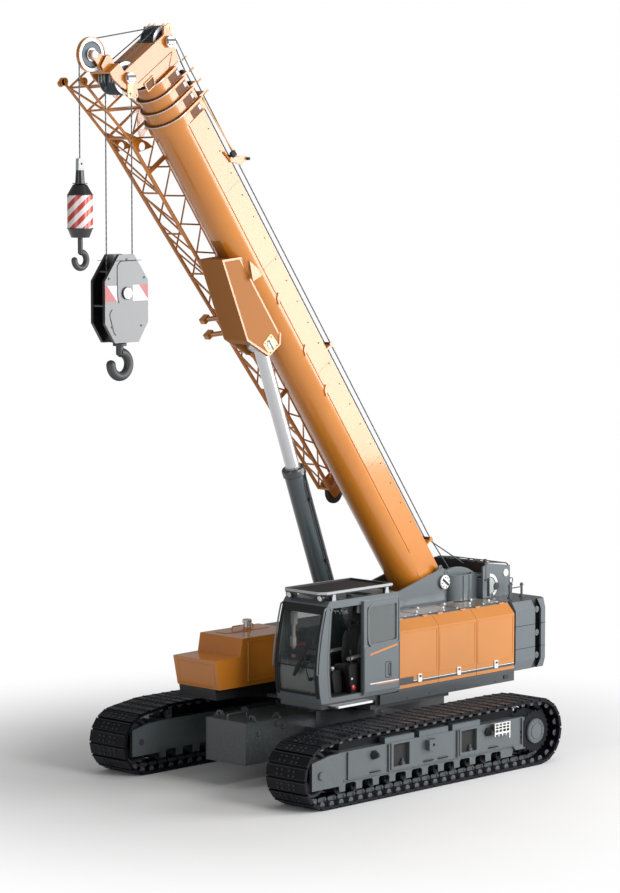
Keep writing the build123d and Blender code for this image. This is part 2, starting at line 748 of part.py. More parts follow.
def cab_interior():
    """Seat on its pedestal, two arm consoles and the front column."""
    z = cab_floor + cab_wall
    seat = block(350, 800, 740, 1200, z + 330, z + 470)
    seat += side_plate([(330, z + 400), (440, z + 400), (350, z + 1150), (240, z + 1150)], 750, 1190)
    seat += block(440, 720, 860, 1100, z, z + 331)
    consoles = [block(430, 900, 1250, 1370, z, z + 560), block(430, 900, 550, 700, z, z + 620)]
    column = block(1330, 1440, 880, 1060, z, z + 650)
    return Compound(children=[seat, *consoles, column])


# Boom


def boom_face(index, grow=0.0):
    """Cross-section: flat top and sides, round bottom. Each inner section is a step smaller."""
    half = boom_width / 2 - section_step * index + grow
    top = boom_top - section_step * index + grow
    line = Polyline((half, boom_bend), (half, top), (-half, top), (-half, boom_bend))
    line += ThreePointArc((-half, boom_bend), (0, boom_bend - half), (half, boom_bend))
    return make_face(line)


def boom_tube(index, s_low, s_high, grow=0.0):
    return extrude(Plane.YZ.offset(s_low) * boom_face(index, grow), s_high - s_low)


def section_front(index):
    return base_end + collar_pitch * index


def end_collar(index):
    """Thick collar and rim round a section's front end, with an upright flange on top."""
    front = section_front(index)
    half = boom_width / 2 - section_step * index + collar_rise
    top = boom_top - section_step * index
    collar = boom_tube(index, front - collar_length, front, collar_rise)
    collar += boom_tube(index, front - rim_thickness, front, collar_rise + 12)
    collar += block(front - rim_thickness, front, -half + 60, half - 60, top, top + rim_height)
    return collar


def wear_pads(index):
    """Ring of pads inside a section's end, that the next section slides in."""
    front = section_front(index)
    ring = boom_tube(index, front - 150, front - 20, -boom_wall)
    return ring - boom_tube(index + 1, front - 200, front + 100, pad_clearance)


def sleeve(index, start):
    """Hollow section with collar and pads."""
    section = boom_tube(index, start, section_front(index)) + end_collar(index)
    section -= boom_tube(index, start - 1, section_front(index) + 1, -boom_wall)
    return section + wear_pads(index)


def boom_base():
    """Outermost section with the foot cheeks and the bracket of the lifting cylinder."""
    base, half = sleeve(0, base_start), boom_width / 2
    foot = [(-60, -230), (300, -boom_top - 200), (base_start + 250, -boom_top - 200),
            (base_start + 250, boom_top), (150, boom_top), (60, 230), (-60, 230), (-200, 120),
            (-200, -120)]
    cheek = side_plate(foot, half - 30, half) + cross_shaft(0, 0, 150, half - 45, slot_half_width - 8)
    cheek -= cross_shaft(0, 0, foot_pin_radius + pin_clearance, 0, 600)
    base += cheek + mirrored(cheek)
    s, w = eye_s, eye_w
    bracket = side_plate([(s - 150, w - 150), (s + 410, -1250), (s + 1900, -920), (s + 1650, -500),
                          (s + 150, -400), (s - 150, -640)], -fork_half_width, fork_half_width)
    bracket -= block(s - 300, s + 260, -fork_half_gap, fork_half_gap, -1400, boom_bend - half + 12)
    bracket -= boom_tube(0, s - 400, s + 2200, -boom_wall)
    bracket -= cross_shaft(s, w, eye_pin_radius + pin_clearance, -400, 400)
    base += bracket
    for s in rope_guides:
        base += block(s - 15, s + 15, 40, 340, boom_top - 1, boom_top + 150)
    return boom_place * base


rope_guides = (740, 5290, 9360)
eye_pin_radius = 75


def tail(index):
    return base_start + 300 + tail_step * index


def boom_inner(index):
    return boom_place * sleeve(index, tail(index))


def boom_head():
    """Innermost section with the head plates, the pins of the sheave stacks and the nose arm."""
    index = section_count - 1
    half = boom_width / 2 - section_step * index
    head = boom_tube(index, tail(index), head_end)
    head -= boom_tube(index, tail(index) - 1, head_end + 1, -boom_wall)
    low, high = half - 10, half - 10 + head_plate_thickness
    cheek = side_plate(head_outline, low, high)
    for pin in (upper_pin, lower_pin):
        cheek += cross_shaft(*pin, 95, high - 1, high + 50)
        cheek += cross_shaft(*pin, pin_radius, 0, low + 1)
    cheek += block(11905, 11935, 0, low + 1, -585, -12)
    cheek += block(11402, 11500, 0, low + 1, -525, -500)
    nose_low, nose_high = arm_outline[0][1], arm_outline[1][1]
    cheek += block(12101, 12130, 0, low + 1, nose_low, nose_high)
    cheek += block(12129, 12180, 0, arm_half_width, nose_low, nose_low + 25)
    cheek += block(12129, 12290, 0, arm_half_width, nose_high - 15, nose_high + 10)
    wall = [(12129, nose_low), (12129, nose_high), (12290, nose_high), (12330, nose_high - 60),
            (12260, nose_low)]
    cheek += side_plate(wall, arm_half_width - 20, arm_half_width)
    fork_y = sheave_thickness / 2 + sheave_side_gap
    cheek += side_plate(arm_outline, fork_y, fork_y + 30)
    cheek += cross_shaft(*aux_pin, pin_radius, 0, fork_y + 45)
    cheek += cross_shaft(*aux_pin, 80, fork_y + 29, fork_y + 40)
    anchor = side_plate(anchor_outline, high - 20, high)
    cheek += anchor - cross_shaft(*anchor_hole, anchor_radius, high - 21, high + 1)
    return boom_place * (head + cheek + mirrored(cheek))


anchor_outline = ((11590, -790), (11660, -910), (11500, -945), (11450, -920), (11440, -870), (11480, -835))
anchor_hole = (11490, -888)
anchor_radius = 18


def sheave():
    """Grooved rope wheel about Y."""
    r, half, groove = sheave_radius, sheave_thickness / 2, sheave_radius - groove_depth
    bore = pin_radius + pin_clearance
    wide = groove_half_width
    profile = [(bore, -half), (110, -half), (110, -15), (groove - 40, -15), (groove - 15, -wide),
               (r, -wide), (groove, 0), (r, wide), (groove - 15, wide), (groove - 40, 15),
               (110, 15), (110, half), (bore, half)]
    return revolve(make_face(Polyline(*profile, close=True)), Axis.Y)


def sheave_stack(s, w, count):
    """Sheaves side by side on one pin."""
    first = -sheave_pitch * (count - 1) / 2
    return [boom_place * Pos(s, first + i * sheave_pitch, w) * sheave() for i in range(count)]


def head_sheaves():
    upper, lower = sheave_counts
    return Compound(children=[*sheave_stack(*upper_pin, upper), *sheave_stack(*lower_pin, lower),
                              *sheave_stack(*aux_pin, 1)])


jib_stations = (
    # s, low w, high w, inner y, outer y
    (10600, -860, 60, -520, -1040),
    (2500, -450, -60, -640, -920),
)
jib_bays = 13
jib_end_s = 11950
jib_fork_w = (-1130, -480)
jib_chord_radius, jib_fork_radius, jib_brace_radius, jib_ring_radii = 34, 25, 15, (29, 24)


def strut(start, end, radius):
    """Straight round member between two points in the boom's own frame."""
    a, b = Vector(*start), Vector(*end)
    return extrude(Plane(origin=a, z_dir=(b - a).normalized()) * Circle(radius), (b - a).length)


def jib_corners(share):
    """The four chords' centres at a share of the way from the fork end to the tip."""
    s, low, high, near, far = (a + share * (b - a) for a, b in zip(*jib_stations))
    return [(s, near, high), (s, far, high), (s, far, low), (s, near, low)]


def jib():
    """Lattice extension folded along the right side of the boom, its forks towards the head."""
    frames = [jib_corners(i / jib_bays) for i in range(jib_bays + 1)]
    pieces = []
    for k in range(4):
        n = (k + 1) % 4
        pieces.append(strut(frames[0][k], frames[-1][k], jib_chord_radius))
        pieces += [strut(a[k], a[n], jib_ring_radii[k % 2]) for a in (frames[0], frames[-1])]
        pieces += [strut(a[k], b[n], jib_brace_radius) for a, b in zip(frames, frames[1:])]
    low, high = jib_fork_w
    lattice = Part() + pieces
    for (s, y, w), end in zip(frames[0], (high, high, low, low)):
        tip = y - 20 if y == jib_stations[0][3] else y + 20
        lattice += strut((s, y, w), (jib_end_s, tip, end), jib_fork_radius)
        lattice += cross_shaft(jib_end_s - 5, end, 70, tip - 40, tip + 40)
    for end in (low, high):
        lattice -= cross_shaft(jib_end_s, end, 28, -1100, -400)
    for s in jib_brackets:
        near_high, _, _, near_low = jib_corners((jib_stations[0][0] - s) / (
            jib_stations[0][0] - jib_stations[1][0]))
        y = near_high[1]
        lattice += block(s - 30, s + 30, y - 30, y + 30, near_low[2], near_high[2])
        lattice += block(s - 60, s + 60, y, -boom_width / 2, -330, -280)
    return boom_place * lattice


jib_brackets = (9850, 4700)


# Lifting cylinder

eye_x, eye_z = boom_point(eye_s, eye_w)
cylinder_length = hypot(eye_x - cylinder_foot_x, eye_z - cylinder_foot_z)
cylinder_angle = degrees(atan2(eye_z - cylinder_foot_z, eye_x - cylinder_foot_x))
cylinder_place = Pos(cylinder_foot_x, 0, cylinder_foot_z) * Rot(0, 90 - cylinder_angle, 0)


def luff_barrel():
    """Barrel, open at its top for the rod, with the eye at its foot."""
    tube = Pos(0, 0, (160 + barrel_length) / 2) * Cylinder(barrel_radius, barrel_length - 160)
    tube += cross_shaft(0, 0, 165, -eye_half_width, eye_half_width)
    tube += block(-120, 120, -eye_half_width + 40, eye_half_width - 40, 0, 200)
    tube -= upright(0, 0, rod_radius + cylinder_clearance, 400, barrel_length + 1)
    tube -= cross_shaft(0, 0, eye_pin_radius + pin_clearance, -400, 400)
    return cylinder_place * tube


def luff_rod():
    """Bright rod with its eye and the pin through the boom's bracket."""
    rod = upright(0, 0, rod_radius, barrel_length - rod_insertion, cylinder_length)
    rod += cross_shaft(0, cylinder_length, eye_radius, -eye_half_width, eye_half_width)
    rod += cross_shaft(0, cylinder_length, eye_pin_radius, -fork_half_width - 12, fork_half_width + 12)
    return cylinder_place * rod


# Hook gear

main_x, main_z = boom_point(*lower_pin)
aux_x, aux_z = boom_point(*aux_pin)
groove_slope = hypot(groove_depth, groove_half_width) / groove_half_width
rope_reach = sheave_radius - groove_depth + (rope_radius + rope_clearance) * groove_slope
block_top = main_z - block_drop
block_pin_z = block_top - block_sheave_drop
aux_top = aux_z - aux_drop


def main_falls():
    """The two outer falls of the hoist rope."""
    falls = [upright(main_x + side * rope_reach, block_y - side * sheave_pitch / 2, rope_radius,
                     block_pin_z, main_z) for side in (1, -1)]
    return Compound(children=falls)


def main_block():
    """Two eight-sided cheeks with the sheaves between them and a crosshead below."""
    w, top, low, half = block_width / 2, block_top, block_top - block_height, block_thickness / 2
    x = main_x
    outline = [(x - w * 0.35, top), (x + w * 0.35, top), (x + w, top - 430), (x + w, top - 1130),
               (x + w * 0.55, low), (x - w * 0.55, low), (x - w, top - 1130), (x - w, top - 430)]
    body = side_plate(outline, half - 60, half)
    body += cross_shaft(x, block_pin_z, pin_radius, 0, half + 25)
    body += block(x - w * 0.5, x + w * 0.5, 0, half - 59, low + 10, low + 280)
    return Pos(0, block_y, 0) * (body + mirrored(body))


def block_sheaves():
    return Compound(children=[Pos(main_x, block_y + side * sheave_pitch / 2, block_pin_z) * sheave()
                              for side in (1, -1)])


def hook(x, y, z, drop, bowl, section):
    """Single hook: a straight shank from z down, then a round bowl that opens towards +X."""
    centre = z - drop + bowl + section
    ring = Pos(x, y, centre) * revolve(Pos(bowl, 0) * Circle(section), Axis.Y, 270)
    tip = Pos(x + bowl, y, centre) * Sphere(section)
    return ring + tip + upright(x, y, section * 0.8, centre + bowl - section * 0.5, z)


def main_hook():
    low = block_top - block_height + 10
    return hook(main_x, block_y, low, 660, hook_bowl_radius, hook_section_radius)


def aux_rope():
    return upright(aux_x + rope_reach, 0, rope_radius, aux_top, aux_z)


aux_profile = (
    # radius, height below the socket's top
    (0, 0), (65, 0), (80, 220), (120, 240), (aux_radius, 400), (aux_radius, 950), (150, 1100), (0, 1100),
)


def aux_weight():
    """Weight of the single line: socket, cone and drum."""
    outline = [(r, -drop) for r, drop in aux_profile]
    body = revolve(Plane.XZ * make_face(Polyline(*outline, close=True)), Axis.Z)
    return Pos(aux_x + rope_reach, 0, aux_top) * body


def aux_hook():
    low = aux_top - aux_profile[-1][1]
    return hook(aux_x + rope_reach, 0, low, 550, aux_bowl_radius, aux_section_radius)


rollers = track_rollers()
frame_left = track_frames()
track_left = track(track_gauge / 2)
idler_left = idler()
sprocket_left = sprocket()

nodes = {
    "carbody": carbody(),
    "crossbeams": crossbeams(),
    "track_frame_left": frame_left,
    "track_frame_right": mirrored(frame_left),
    "track_left": track_left,
    "track_right": mirrored(track_left),
    "idlers": Compound(children=[idler_left, mirrored(idler_left)]),
    "sprockets": Compound(children=[sprocket_left, mirrored(sprocket_left)]),
    "track_rollers": Compound(children=[*rollers, *[mirrored(roller) for roller in rollers]]),
    "turntable": turntable(),
    "winch_frame": winch_frame(),
    "winches": winches(),
    "side_decks": side_decks(),
    "engine_hood": engine_hood(),
    "engine_door_front": engine_door(0),
    "engine_door_middle": engine_door(1),
    "engine_door_rear": engine_door(2),
    "engine": engine(),
    "right_housing": right_housing(),
    "fuel_tank": fuel_tank(),
    "tank_skirt": tank_skirt(),
    "counterweight": counterweight(),
    "cab_shell": cab_shell(),
    "cab_glass": cab_glass(),
    "cab_door": cab_door(),
    "cab_door_glass": cab_door_glass(),
    "cab_roof_guard": cab_roof_guard(),
    "cab_interior": cab_interior(),
    "boom_base": boom_base(),
    "boom_section_2": boom_inner(1),
    "boom_section_3": boom_inner(2),
    "boom_section_4": boom_inner(3),
    "boom_head": boom_head(),
    "head_sheaves": head_sheaves(),
    "jib": jib(),
    "luff_barrel": luff_barrel(),
    "luff_rod": luff_rod(),
    "main_falls": main_falls(),
    "main_block": main_block(),
    "block_sheaves": block_sheaves(),
    "main_hook": main_hook(),
    "aux_rope": aux_rope(),
    "aux_weight": aux_weight(),
    "aux_hook": aux_hook(),
}

os.makedirs("parts", exist_ok=True)
for name, shape in nodes.items():
    export_step(shape, f"parts/{name}.step")
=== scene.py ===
# %% [markdown]
# # A crawler crane, dressed for its photograph
# The crane's solids were drawn in CAD and packed as a fixed frame of bodies and joints. This
# script loads that frame, gives every solid a finish, and adds the parts that were left to
# Blender: ropes, bolts, stripes, rails, the inside of the cab and the details of the head.
# Everything is in metres: +X is forwards, +Y the crane's left, +Z up, and the origin is on the
# ground under the slewing axis.

# %% Load the frame
import math

import bpy
import numpy as np
from mathutils import Matrix


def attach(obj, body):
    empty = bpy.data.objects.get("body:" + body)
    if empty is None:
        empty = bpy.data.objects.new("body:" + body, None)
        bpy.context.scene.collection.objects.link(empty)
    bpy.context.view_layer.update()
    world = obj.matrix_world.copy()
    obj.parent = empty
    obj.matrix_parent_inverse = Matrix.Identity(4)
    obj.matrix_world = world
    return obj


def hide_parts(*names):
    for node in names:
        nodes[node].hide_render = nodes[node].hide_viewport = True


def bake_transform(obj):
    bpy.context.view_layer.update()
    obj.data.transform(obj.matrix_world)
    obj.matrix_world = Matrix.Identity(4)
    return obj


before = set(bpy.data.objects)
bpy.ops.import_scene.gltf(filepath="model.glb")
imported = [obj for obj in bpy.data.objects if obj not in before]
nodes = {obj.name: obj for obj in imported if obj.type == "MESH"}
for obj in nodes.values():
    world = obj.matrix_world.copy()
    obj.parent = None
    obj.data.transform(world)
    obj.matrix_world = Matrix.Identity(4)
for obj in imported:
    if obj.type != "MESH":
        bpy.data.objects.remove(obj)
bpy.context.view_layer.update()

# %% [markdown]
# The camera comes first, because every later choice is judged through it. Its place was found
# by fitting known corners of the crane to the photograph: a long lens, about 60 m away to the
# left front, a little above the hook block and tilted down by 5.6 degrees. A camera looks along
# its own -Z axis, so the three directions of its matrix are worked out from yaw, pitch and roll.

# %% Camera
photo_height, focal_px, sensor_mm = 893, 3307.0, 36.0
camera_place = np.array((42.445, 40.297, 11.482))
yaw, pitch, roll = np.radians((43.832, 5.579, 0.030))


def placed(x_axis, y_axis, z_axis, place):
    """The matrix of a thing from its own three directions and its place."""
    pose = np.eye(4)
    pose[:3] = np.column_stack((x_axis, y_axis, z_axis, place))
    return Matrix(pose.tolist())


forward = -np.array((np.cos(yaw) * np.cos(pitch), np.sin(yaw) * np.cos(pitch), np.sin(pitch)))
sideways = np.cross(forward, (0, 0, 1))
sideways /= np.linalg.norm(sideways)
upward = np.cross(sideways, forward)
right = np.cos(roll) * sideways + np.sin(roll) * upward
up = np.cos(roll) * upward - np.sin(roll) * sideways

camera = bpy.data.cameras.new("photo_camera")
camera.sensor_fit, camera.sensor_width = "AUTO", sensor_mm
camera.lens = focal_px / photo_height * sensor_mm
camera.clip_end = 500
camera_object = bpy.data.objects.new("photo_camera", camera)
camera_object.matrix_world = placed(right, up, -forward, camera_place)
bpy.context.scene.collection.objects.link(camera_object)
bpy.context.scene.camera = camera_object
print("lens", round(camera.lens, 2), "mm")

# %% [markdown]
# ## Shader sums
# A finish is a small network of nodes. Writing it node by node hides the sum it stands for, so
# one class wraps a socket and turns Python's operators into Math nodes, and one method of the
# finish makes every other node.

# %% A socket that Python can do sums with
def operator_pair(operation):
    """The operator and its reflected form, both as one Math node."""
    def plain(value, other):
        return value.finish.math(operation, value, other)

    def reflected(value, other):
        return value.finish.math(operation, other, value)
    return plain, reflected


class Value:
    """A shader socket: value + 1, 1 - value or value * other adds the Math node for it."""
    def __init__(self, finish, socket):
        self.finish, self.socket = finish, socket

    __add__, __radd__ = operator_pair("ADD")
    __sub__, __rsub__ = operator_pair("SUBTRACT")
    __mul__, __rmul__ = operator_pair("MULTIPLY")
    __truediv__, __rtruediv__ = operator_pair("DIVIDE")
    __pow__, __rpow__ = operator_pair("POWER")
    __gt__, __lt__ = operator_pair("GREATER_THAN")[0], operator_pair("LESS_THAN")[0]

    def wave(self):
        return self.finish.math("SINE", self, 0)

    def size(self):
        return self.finish.math("ABSOLUTE", self, 0)

    def fraction(self):
        return self.finish.math("FRACT", self, 0)

    def between(self, low, high):
        """1 where the value lies between low and high, 0 elsewhere."""
        return (self > low) * (self < high)

    def step(self, low, high):
        """Smooth rise from 0 at low to 1 at high."""
        return self.finish.node("ShaderNodeMapRange", {"interpolation_type": "SMOOTHSTEP"},
                                {"Value": self, "From Min": low, "From Max": high})


class Finish:
    """One material. Only its changing values are linked; the rest sit on the shader's sockets."""
    def __init__(self, name, **sockets):
        self.material = bpy.data.materials.new(name)
        self.material.use_nodes = True
        self.tree = self.material.node_tree
        self.shader = self.tree.nodes["Principled BSDF"]
        for key, value in sockets.items():
            socket = key.replace("_", " ").title().replace("Ior", "IOR")
            self.shader.inputs[socket].default_value = value
        where = self.tree.nodes.new("ShaderNodeTexCoord").outputs["Object"]
        self.place = Value(self, where)
        split = self.tree.nodes.new("ShaderNodeSeparateXYZ")
        self.tree.links.new(where, split.inputs[0])
        self.x, self.y, self.z = (Value(self, socket) for socket in split.outputs)

    def put(self, socket, value):
        if isinstance(value, Value):
            self.tree.links.new(value.socket, socket)
        elif isinstance(value, tuple) and len(value) == 3 and socket.type == "RGBA":
            socket.default_value = (*value, 1)
        else:
            socket.default_value = value

    def node(self, kind, settings=None, values=None, output=0):
        """A node by its type, with its settings first and then its sockets' values or links."""
        made = self.tree.nodes.new(kind)
        for key, value in (settings or {}).items():
            setattr(made, key, value)
        for key, value in (values or {}).items():
            self.put(made.inputs[key], value)
        return Value(self, made.outputs[output])

    def math(self, operation, first, second):
        return self.node("ShaderNodeMath", {"operation": operation}, {0: first, 1: second})

    def mix(self, share, first, second):
        """Colour that goes from first to second as share goes from 0 to 1."""
        return self.node("ShaderNodeMix", {"data_type": "RGBA"}, {0: share, 6: first, 7: second}, 2)

    def noise(self, scale, detail=4.0, roughness=0.55, stretch=None):
        """Cloudy pattern, about 1 / scale metres across, stretched along an axis if asked."""
        place = self.place
        if stretch:
            place = self.node("ShaderNodeMapping", None, {"Vector": place, "Scale": stretch})
        return self.node("ShaderNodeTexNoise", None, {
            "Vector": place, "Scale": scale, "Detail": detail, "Roughness": roughness})

    def bump(self, height, distance, strength=1.0):
        return self.node("ShaderNodeBump", None, {
            "Height": height, "Distance": distance, "Strength": strength})

    def use(self, **links):
        """Feeds the shader: colour, roughness, metallic, normal, alpha, coat."""
        names = {"colour": "Base Color", "roughness": "Roughness", "metallic": "Metallic",
                 "normal": "Normal", "alpha": "Alpha", "coat": "Coat Weight"}
        for key, value in links.items():
            self.put(self.shader.inputs[names[key]], value)
        return self


def from_srgb(*levels):
    """A colour read off a screen, 0 to 255, as the linear light that a shader wants."""
    share = np.array(levels) / 255
    linear = np.where(share <= 0.04045, share / 12.92, ((share + 0.055) / 1.055) ** 2.4)
    return tuple(float(v) for v in linear)


# %% [markdown]
# ## Finishes
# The photograph shows a machine straight from the paint shop: deep orange and two greys under a
# clear glossy coat, near-black track shoes, a bright cylinder rod. Even new paint isn't one flat
# colour. Sprayed paint has a fine orange-peel bump and its colour drifts a little between
# panels, and the lowest parts carry some dust from the yard.

# %% Paints
def paint(name, colour, roughness=0.32, coat=0.5, dust=0.25, drift=0.10):
    """Sprayed paint: slow colour drift, fine orange peel, dust that gathers near the ground."""
    finish = Finish(name, coat_weight=coat, coat_roughness=0.12)
    darker = tuple(c * (1 - drift * 1.6) for c in colour)
    lighter = tuple(min(1.0, c * (1 + drift)) for c in colour)
    base = finish.mix(finish.noise(0.9, 3), darker, lighter)
    fine = finish.noise(26, 5, 0.6)
    low = 1 - finish.z.step(0.0, 1.6)
    dirt = (low * 0.7 + 0.12) * fine.step(0.42, 0.75) * dust
    base = finish.mix(dirt, base, from_srgb(150, 140, 125))
    peel = finish.noise(420, 2, 0.5)
    return finish.use(colour=base, roughness=roughness + fine * 0.10 + dirt * 0.5,
                      normal=finish.bump(peel, 0.0006, 0.25)).material


orange = paint("orange_paint", from_srgb(194, 118, 32), 0.26, 0.7)
mid_grey = paint("mid_grey_paint", from_srgb(90, 98, 102), 0.30, 0.45)
frame_grey = paint("frame_grey_paint", from_srgb(78, 86, 89), 0.34, 0.3, 0.15)
dark_grey = paint("dark_grey_paint", from_srgb(52, 57, 60), 0.34, 0.4)
weight_grey = paint("weight_grey_paint", from_srgb(100, 108, 112), 0.40, 0.3)
black_paint = paint("black_paint", from_srgb(26, 27, 29), 0.4, 0.3)
white_paint = paint("white_paint", from_srgb(228, 228, 226), 0.35, 0.3, drift=0.03)
light_grey = paint("light_grey_paint", from_srgb(168, 172, 174), 0.32, 0.4)
barrel_grey = paint("barrel_paint", from_srgb(60, 70, 74), 0.32, 0.4)
# A lighter copy of the orange: a painted highlight, for small orange parts that catch the light.
highlight_orange = paint("highlight_orange_paint", from_srgb(232, 176, 110), 0.3, 0.5)
red_paint = paint("red_paint", from_srgb(176, 34, 40), 0.35, 0.3)
print("paints", len(bpy.data.materials))

# %% [markdown]
# Bare metal isn't even either: oil and handling leave blotches and streaks, so its colour and
# roughness follow two noises. Rope and seat cloth get their pattern from waves instead, because
# strands and threads are regular, and modelling them would cost millions of faces.

# %% Metals, rubber, glass and cloth
def worn_steel(name, colour, roughness, metallic=0.6, scratch=0.3, specular=0.5):
    """Bare or oiled steel: blotchy roughness and streaks from handling."""
    finish = Finish(name, specular_ior_level=specular)
    blotch = finish.noise(7, 5, 0.6)
    fine = finish.noise(60, 4, 0.6)
    bright = tuple(min(1.0, c * 1.7 + 0.02) for c in colour)
    worn = blotch.step(0.35, 0.8) * scratch + fine.step(0.55, 0.8) * scratch
    base = finish.mix(worn, colour, bright)
    return finish.use(colour=base, roughness=roughness + blotch * 0.25, metallic=metallic,
                      normal=finish.bump(fine, 0.002, 0.35)).material


shoe_steel = worn_steel("shoe_steel", from_srgb(7, 7, 17), 0.30, 0.2, 0.1, 0.25)
link_grey = worn_steel("link_grey", from_srgb(82, 87, 90), 0.38, 0.3)
link_steel = worn_steel("link_steel", from_srgb(58, 62, 66), 0.42, 0.5)
forged_iron = worn_steel("forged_iron", from_srgb(66, 67, 69), 0.34, 0.4)
bright_cap = worn_steel("bright_cap", from_srgb(214, 214, 216), 0.3, 0.3, 0.1)
plated_steel = worn_steel("plated_steel", from_srgb(196, 198, 200), 0.24, 0.85, 0.15)


def polished_rod():
    """Hard chrome: smooth, with faint rings from the grinding wheel."""
    finish = Finish("chrome_rod", metallic=0.85)
    rings = finish.noise(4, 3, 0.6, (1, 1, 40))
    return finish.use(colour=finish.mix(rings, from_srgb(186, 187, 190), from_srgb(204, 204, 206)),
                      roughness=0.26 + rings * 0.06).material


def wire_rope(name, along=(0, 0, 1), across=(0.7, 0.7, 0), pitch=0.09, strand_width=0.018):
    """Twisted strands: stripes whose phase grows along the rope and, faster, across it."""
    finish = Finish(name, metallic=0.4)
    x, y, z = (a / pitch + b / strand_width for a, b in zip(along, across))
    phase = finish.x * x + finish.y * y + finish.z * z
    strand = (phase * math.tau).wave() * 0.5 + 0.5
    return finish.use(colour=finish.mix(strand, from_srgb(44, 48, 52), from_srgb(112, 118, 122)),
                      roughness=0.5 - strand * 0.12, normal=finish.bump(strand, 0.004, 0.8)).material


def window_glass(name, tint, alpha):
    """Tinted safety glass: see-through, with the tint in its own colour and a sharp reflection.
    The panes on the cab's rear left side are denser, because behind them the cab is dark."""
    finish = Finish(name, ior=1.45, transmission_weight=0.0, coat_weight=0.6)
    haze = finish.noise(3, 2)
    rear_side = (finish.y > 1.40) * (finish.x < 0.9)
    return finish.use(colour=tint, roughness=0.04 + haze * 0.03,
                      alpha=alpha + rear_side * (0.8 - alpha)).material


def rubber():
    """Matt black rubber with a fine grain."""
    finish = Finish("black_rubber")
    grain = finish.noise(240, 3, 0.7)
    return finish.use(colour=finish.mix(grain, from_srgb(15, 15, 16), from_srgb(30, 30, 32)),
                      roughness=0.62 + grain * 0.2, normal=finish.bump(grain, 0.001, 0.4)).material


def seat_cloth(name="seat_cloth", dark=from_srgb(30, 31, 33), light=from_srgb(62, 64, 67)):
    """Woven seat cover: two crossed waves a few millimetres apart give the weave its bump."""
    finish = Finish(name, sheen_weight=0.3)
    weave = (finish.x * 1400).wave() * (finish.z * 1400).wave() * 0.5 + 0.5
    cloud = finish.noise(9, 4)
    return finish.use(colour=finish.mix(weave * 0.5 + cloud * 0.5, dark, light),
                      roughness=0.85, normal=finish.bump(weave, 0.001, 0.5)).material


def moulded(name, colour):
    """Moulded plastic or trim: even colour with a fine leathery grain."""
    finish = Finish(name)
    grain = finish.noise(300, 3, 0.6)
    cloud = finish.noise(3, 2)
    lighter = tuple(c * 1.25 + 0.004 for c in colour)
    return finish.use(colour=finish.mix(cloud, colour, lighter), roughness=0.5 + grain * 0.2,
                      normal=finish.bump(grain, 0.0008, 0.4)).material


chrome_rod, rope_finish = polished_rod(), wire_rope("hanging_rope")
glass = window_glass("window_glass", from_srgb(58, 66, 68), 0.30)
door_glass = window_glass("door_glass", from_srgb(97, 102, 103), 0.8)
drum_rope_finish = wire_rope("drum_rope", (0, 0.2, 0), (0.3, 0, 0.3))
boom_rope_finish = wire_rope("boom_rope", (0.5835, 0, 0.8121), (-0.6, 0.6, 0.4))
dark_rope = wire_rope("sheave_rope", (0, 0.2, 0), (0.5, 0.3, 0.5))
black_rubber, cloth = rubber(), seat_cloth()
wing_cloth = seat_cloth("wing_cloth", from_srgb(74, 77, 80), from_srgb(104, 107, 110))
dark_lining = moulded("dark_lining", from_srgb(22, 23, 24))
light_plastic = moulded("light_plastic", from_srgb(190, 190, 186))
kick_cloth = moulded("kick_panel", from_srgb(158, 160, 158))
print("finishes", sorted(m.name for m in bpy.data.materials))

# %% [markdown]
# ## The kept solids
# Most CAD solids already have the right shape, so they stay and only take a better finish.

# %% Finishes on the CAD nodes
node_finish = {node: material for names, material in (
    ("carbody turntable winches side_decks engine_hood right_housing", dark_grey),
    ("crossbeams track_frame_left track_frame_right", frame_grey),
    ("track_left track_right", shoe_steel), ("idlers sprockets track_rollers", link_steel),
    ("winch_frame cab_shell cab_door main_block", mid_grey),
    ("engine_door_front engine_door_middle engine_door_rear fuel_tank jib", orange),
    ("boom_base boom_section_2 boom_section_3 boom_section_4 boom_head", orange),
    ("engine tank_skirt cab_roof_guard aux_weight", black_paint),
    ("counterweight head_sheaves block_sheaves", weight_grey),
    ("cab_glass", glass), ("cab_door_glass", door_glass), ("cab_interior", black_rubber),
    ("luff_barrel", barrel_grey), ("luff_rod", chrome_rod),
    ("main_falls aux_rope", rope_finish), ("main_hook aux_hook", forged_iron),
) for node in names.split()}


def finish_node(node, material):
    """Gives a CAD node one finish."""
    materials = nodes[node].data.materials
    materials.clear()
    materials.append(material)


for node, material in node_finish.items():
    finish_node(node, material)
print("without a finish", sorted(set(nodes) - set(node_finish)))
# %% [markdown]
# ## Shapes as arrays
# Everything that is added is a surface worked out with numpy. One idea covers nearly all of it:
# a ring of points is carried from place to place, and each ring is joined to the next with
# quads. A plate is an outline carried through its thickness, a turned part is a circle carried
# along its axis, a rope or a rail is a circle carried along a path, and a window rim is a small
# section carried round an outline.

# %% Rings, skins and sums of shapes
def grid_faces(rows, columns, wrap=False, close=False):
    """Quads of a rows x columns grid of points, joined across the last column or row if asked."""
    row, column = np.meshgrid(np.arange(rows if close else rows - 1),
                              np.arange(columns if wrap else columns - 1), indexing="ij")
    after, below = (column + 1) % columns, (row + 1) % rows
    return np.stack((row * columns + column, row * columns + after, below * columns + after,
                     below * columns + column), axis=-1).reshape(-1, 4)


def unit(vectors):
    vectors = np.asarray(vectors, float)
    return vectors / np.linalg.norm(vectors, axis=-1, keepdims=True)


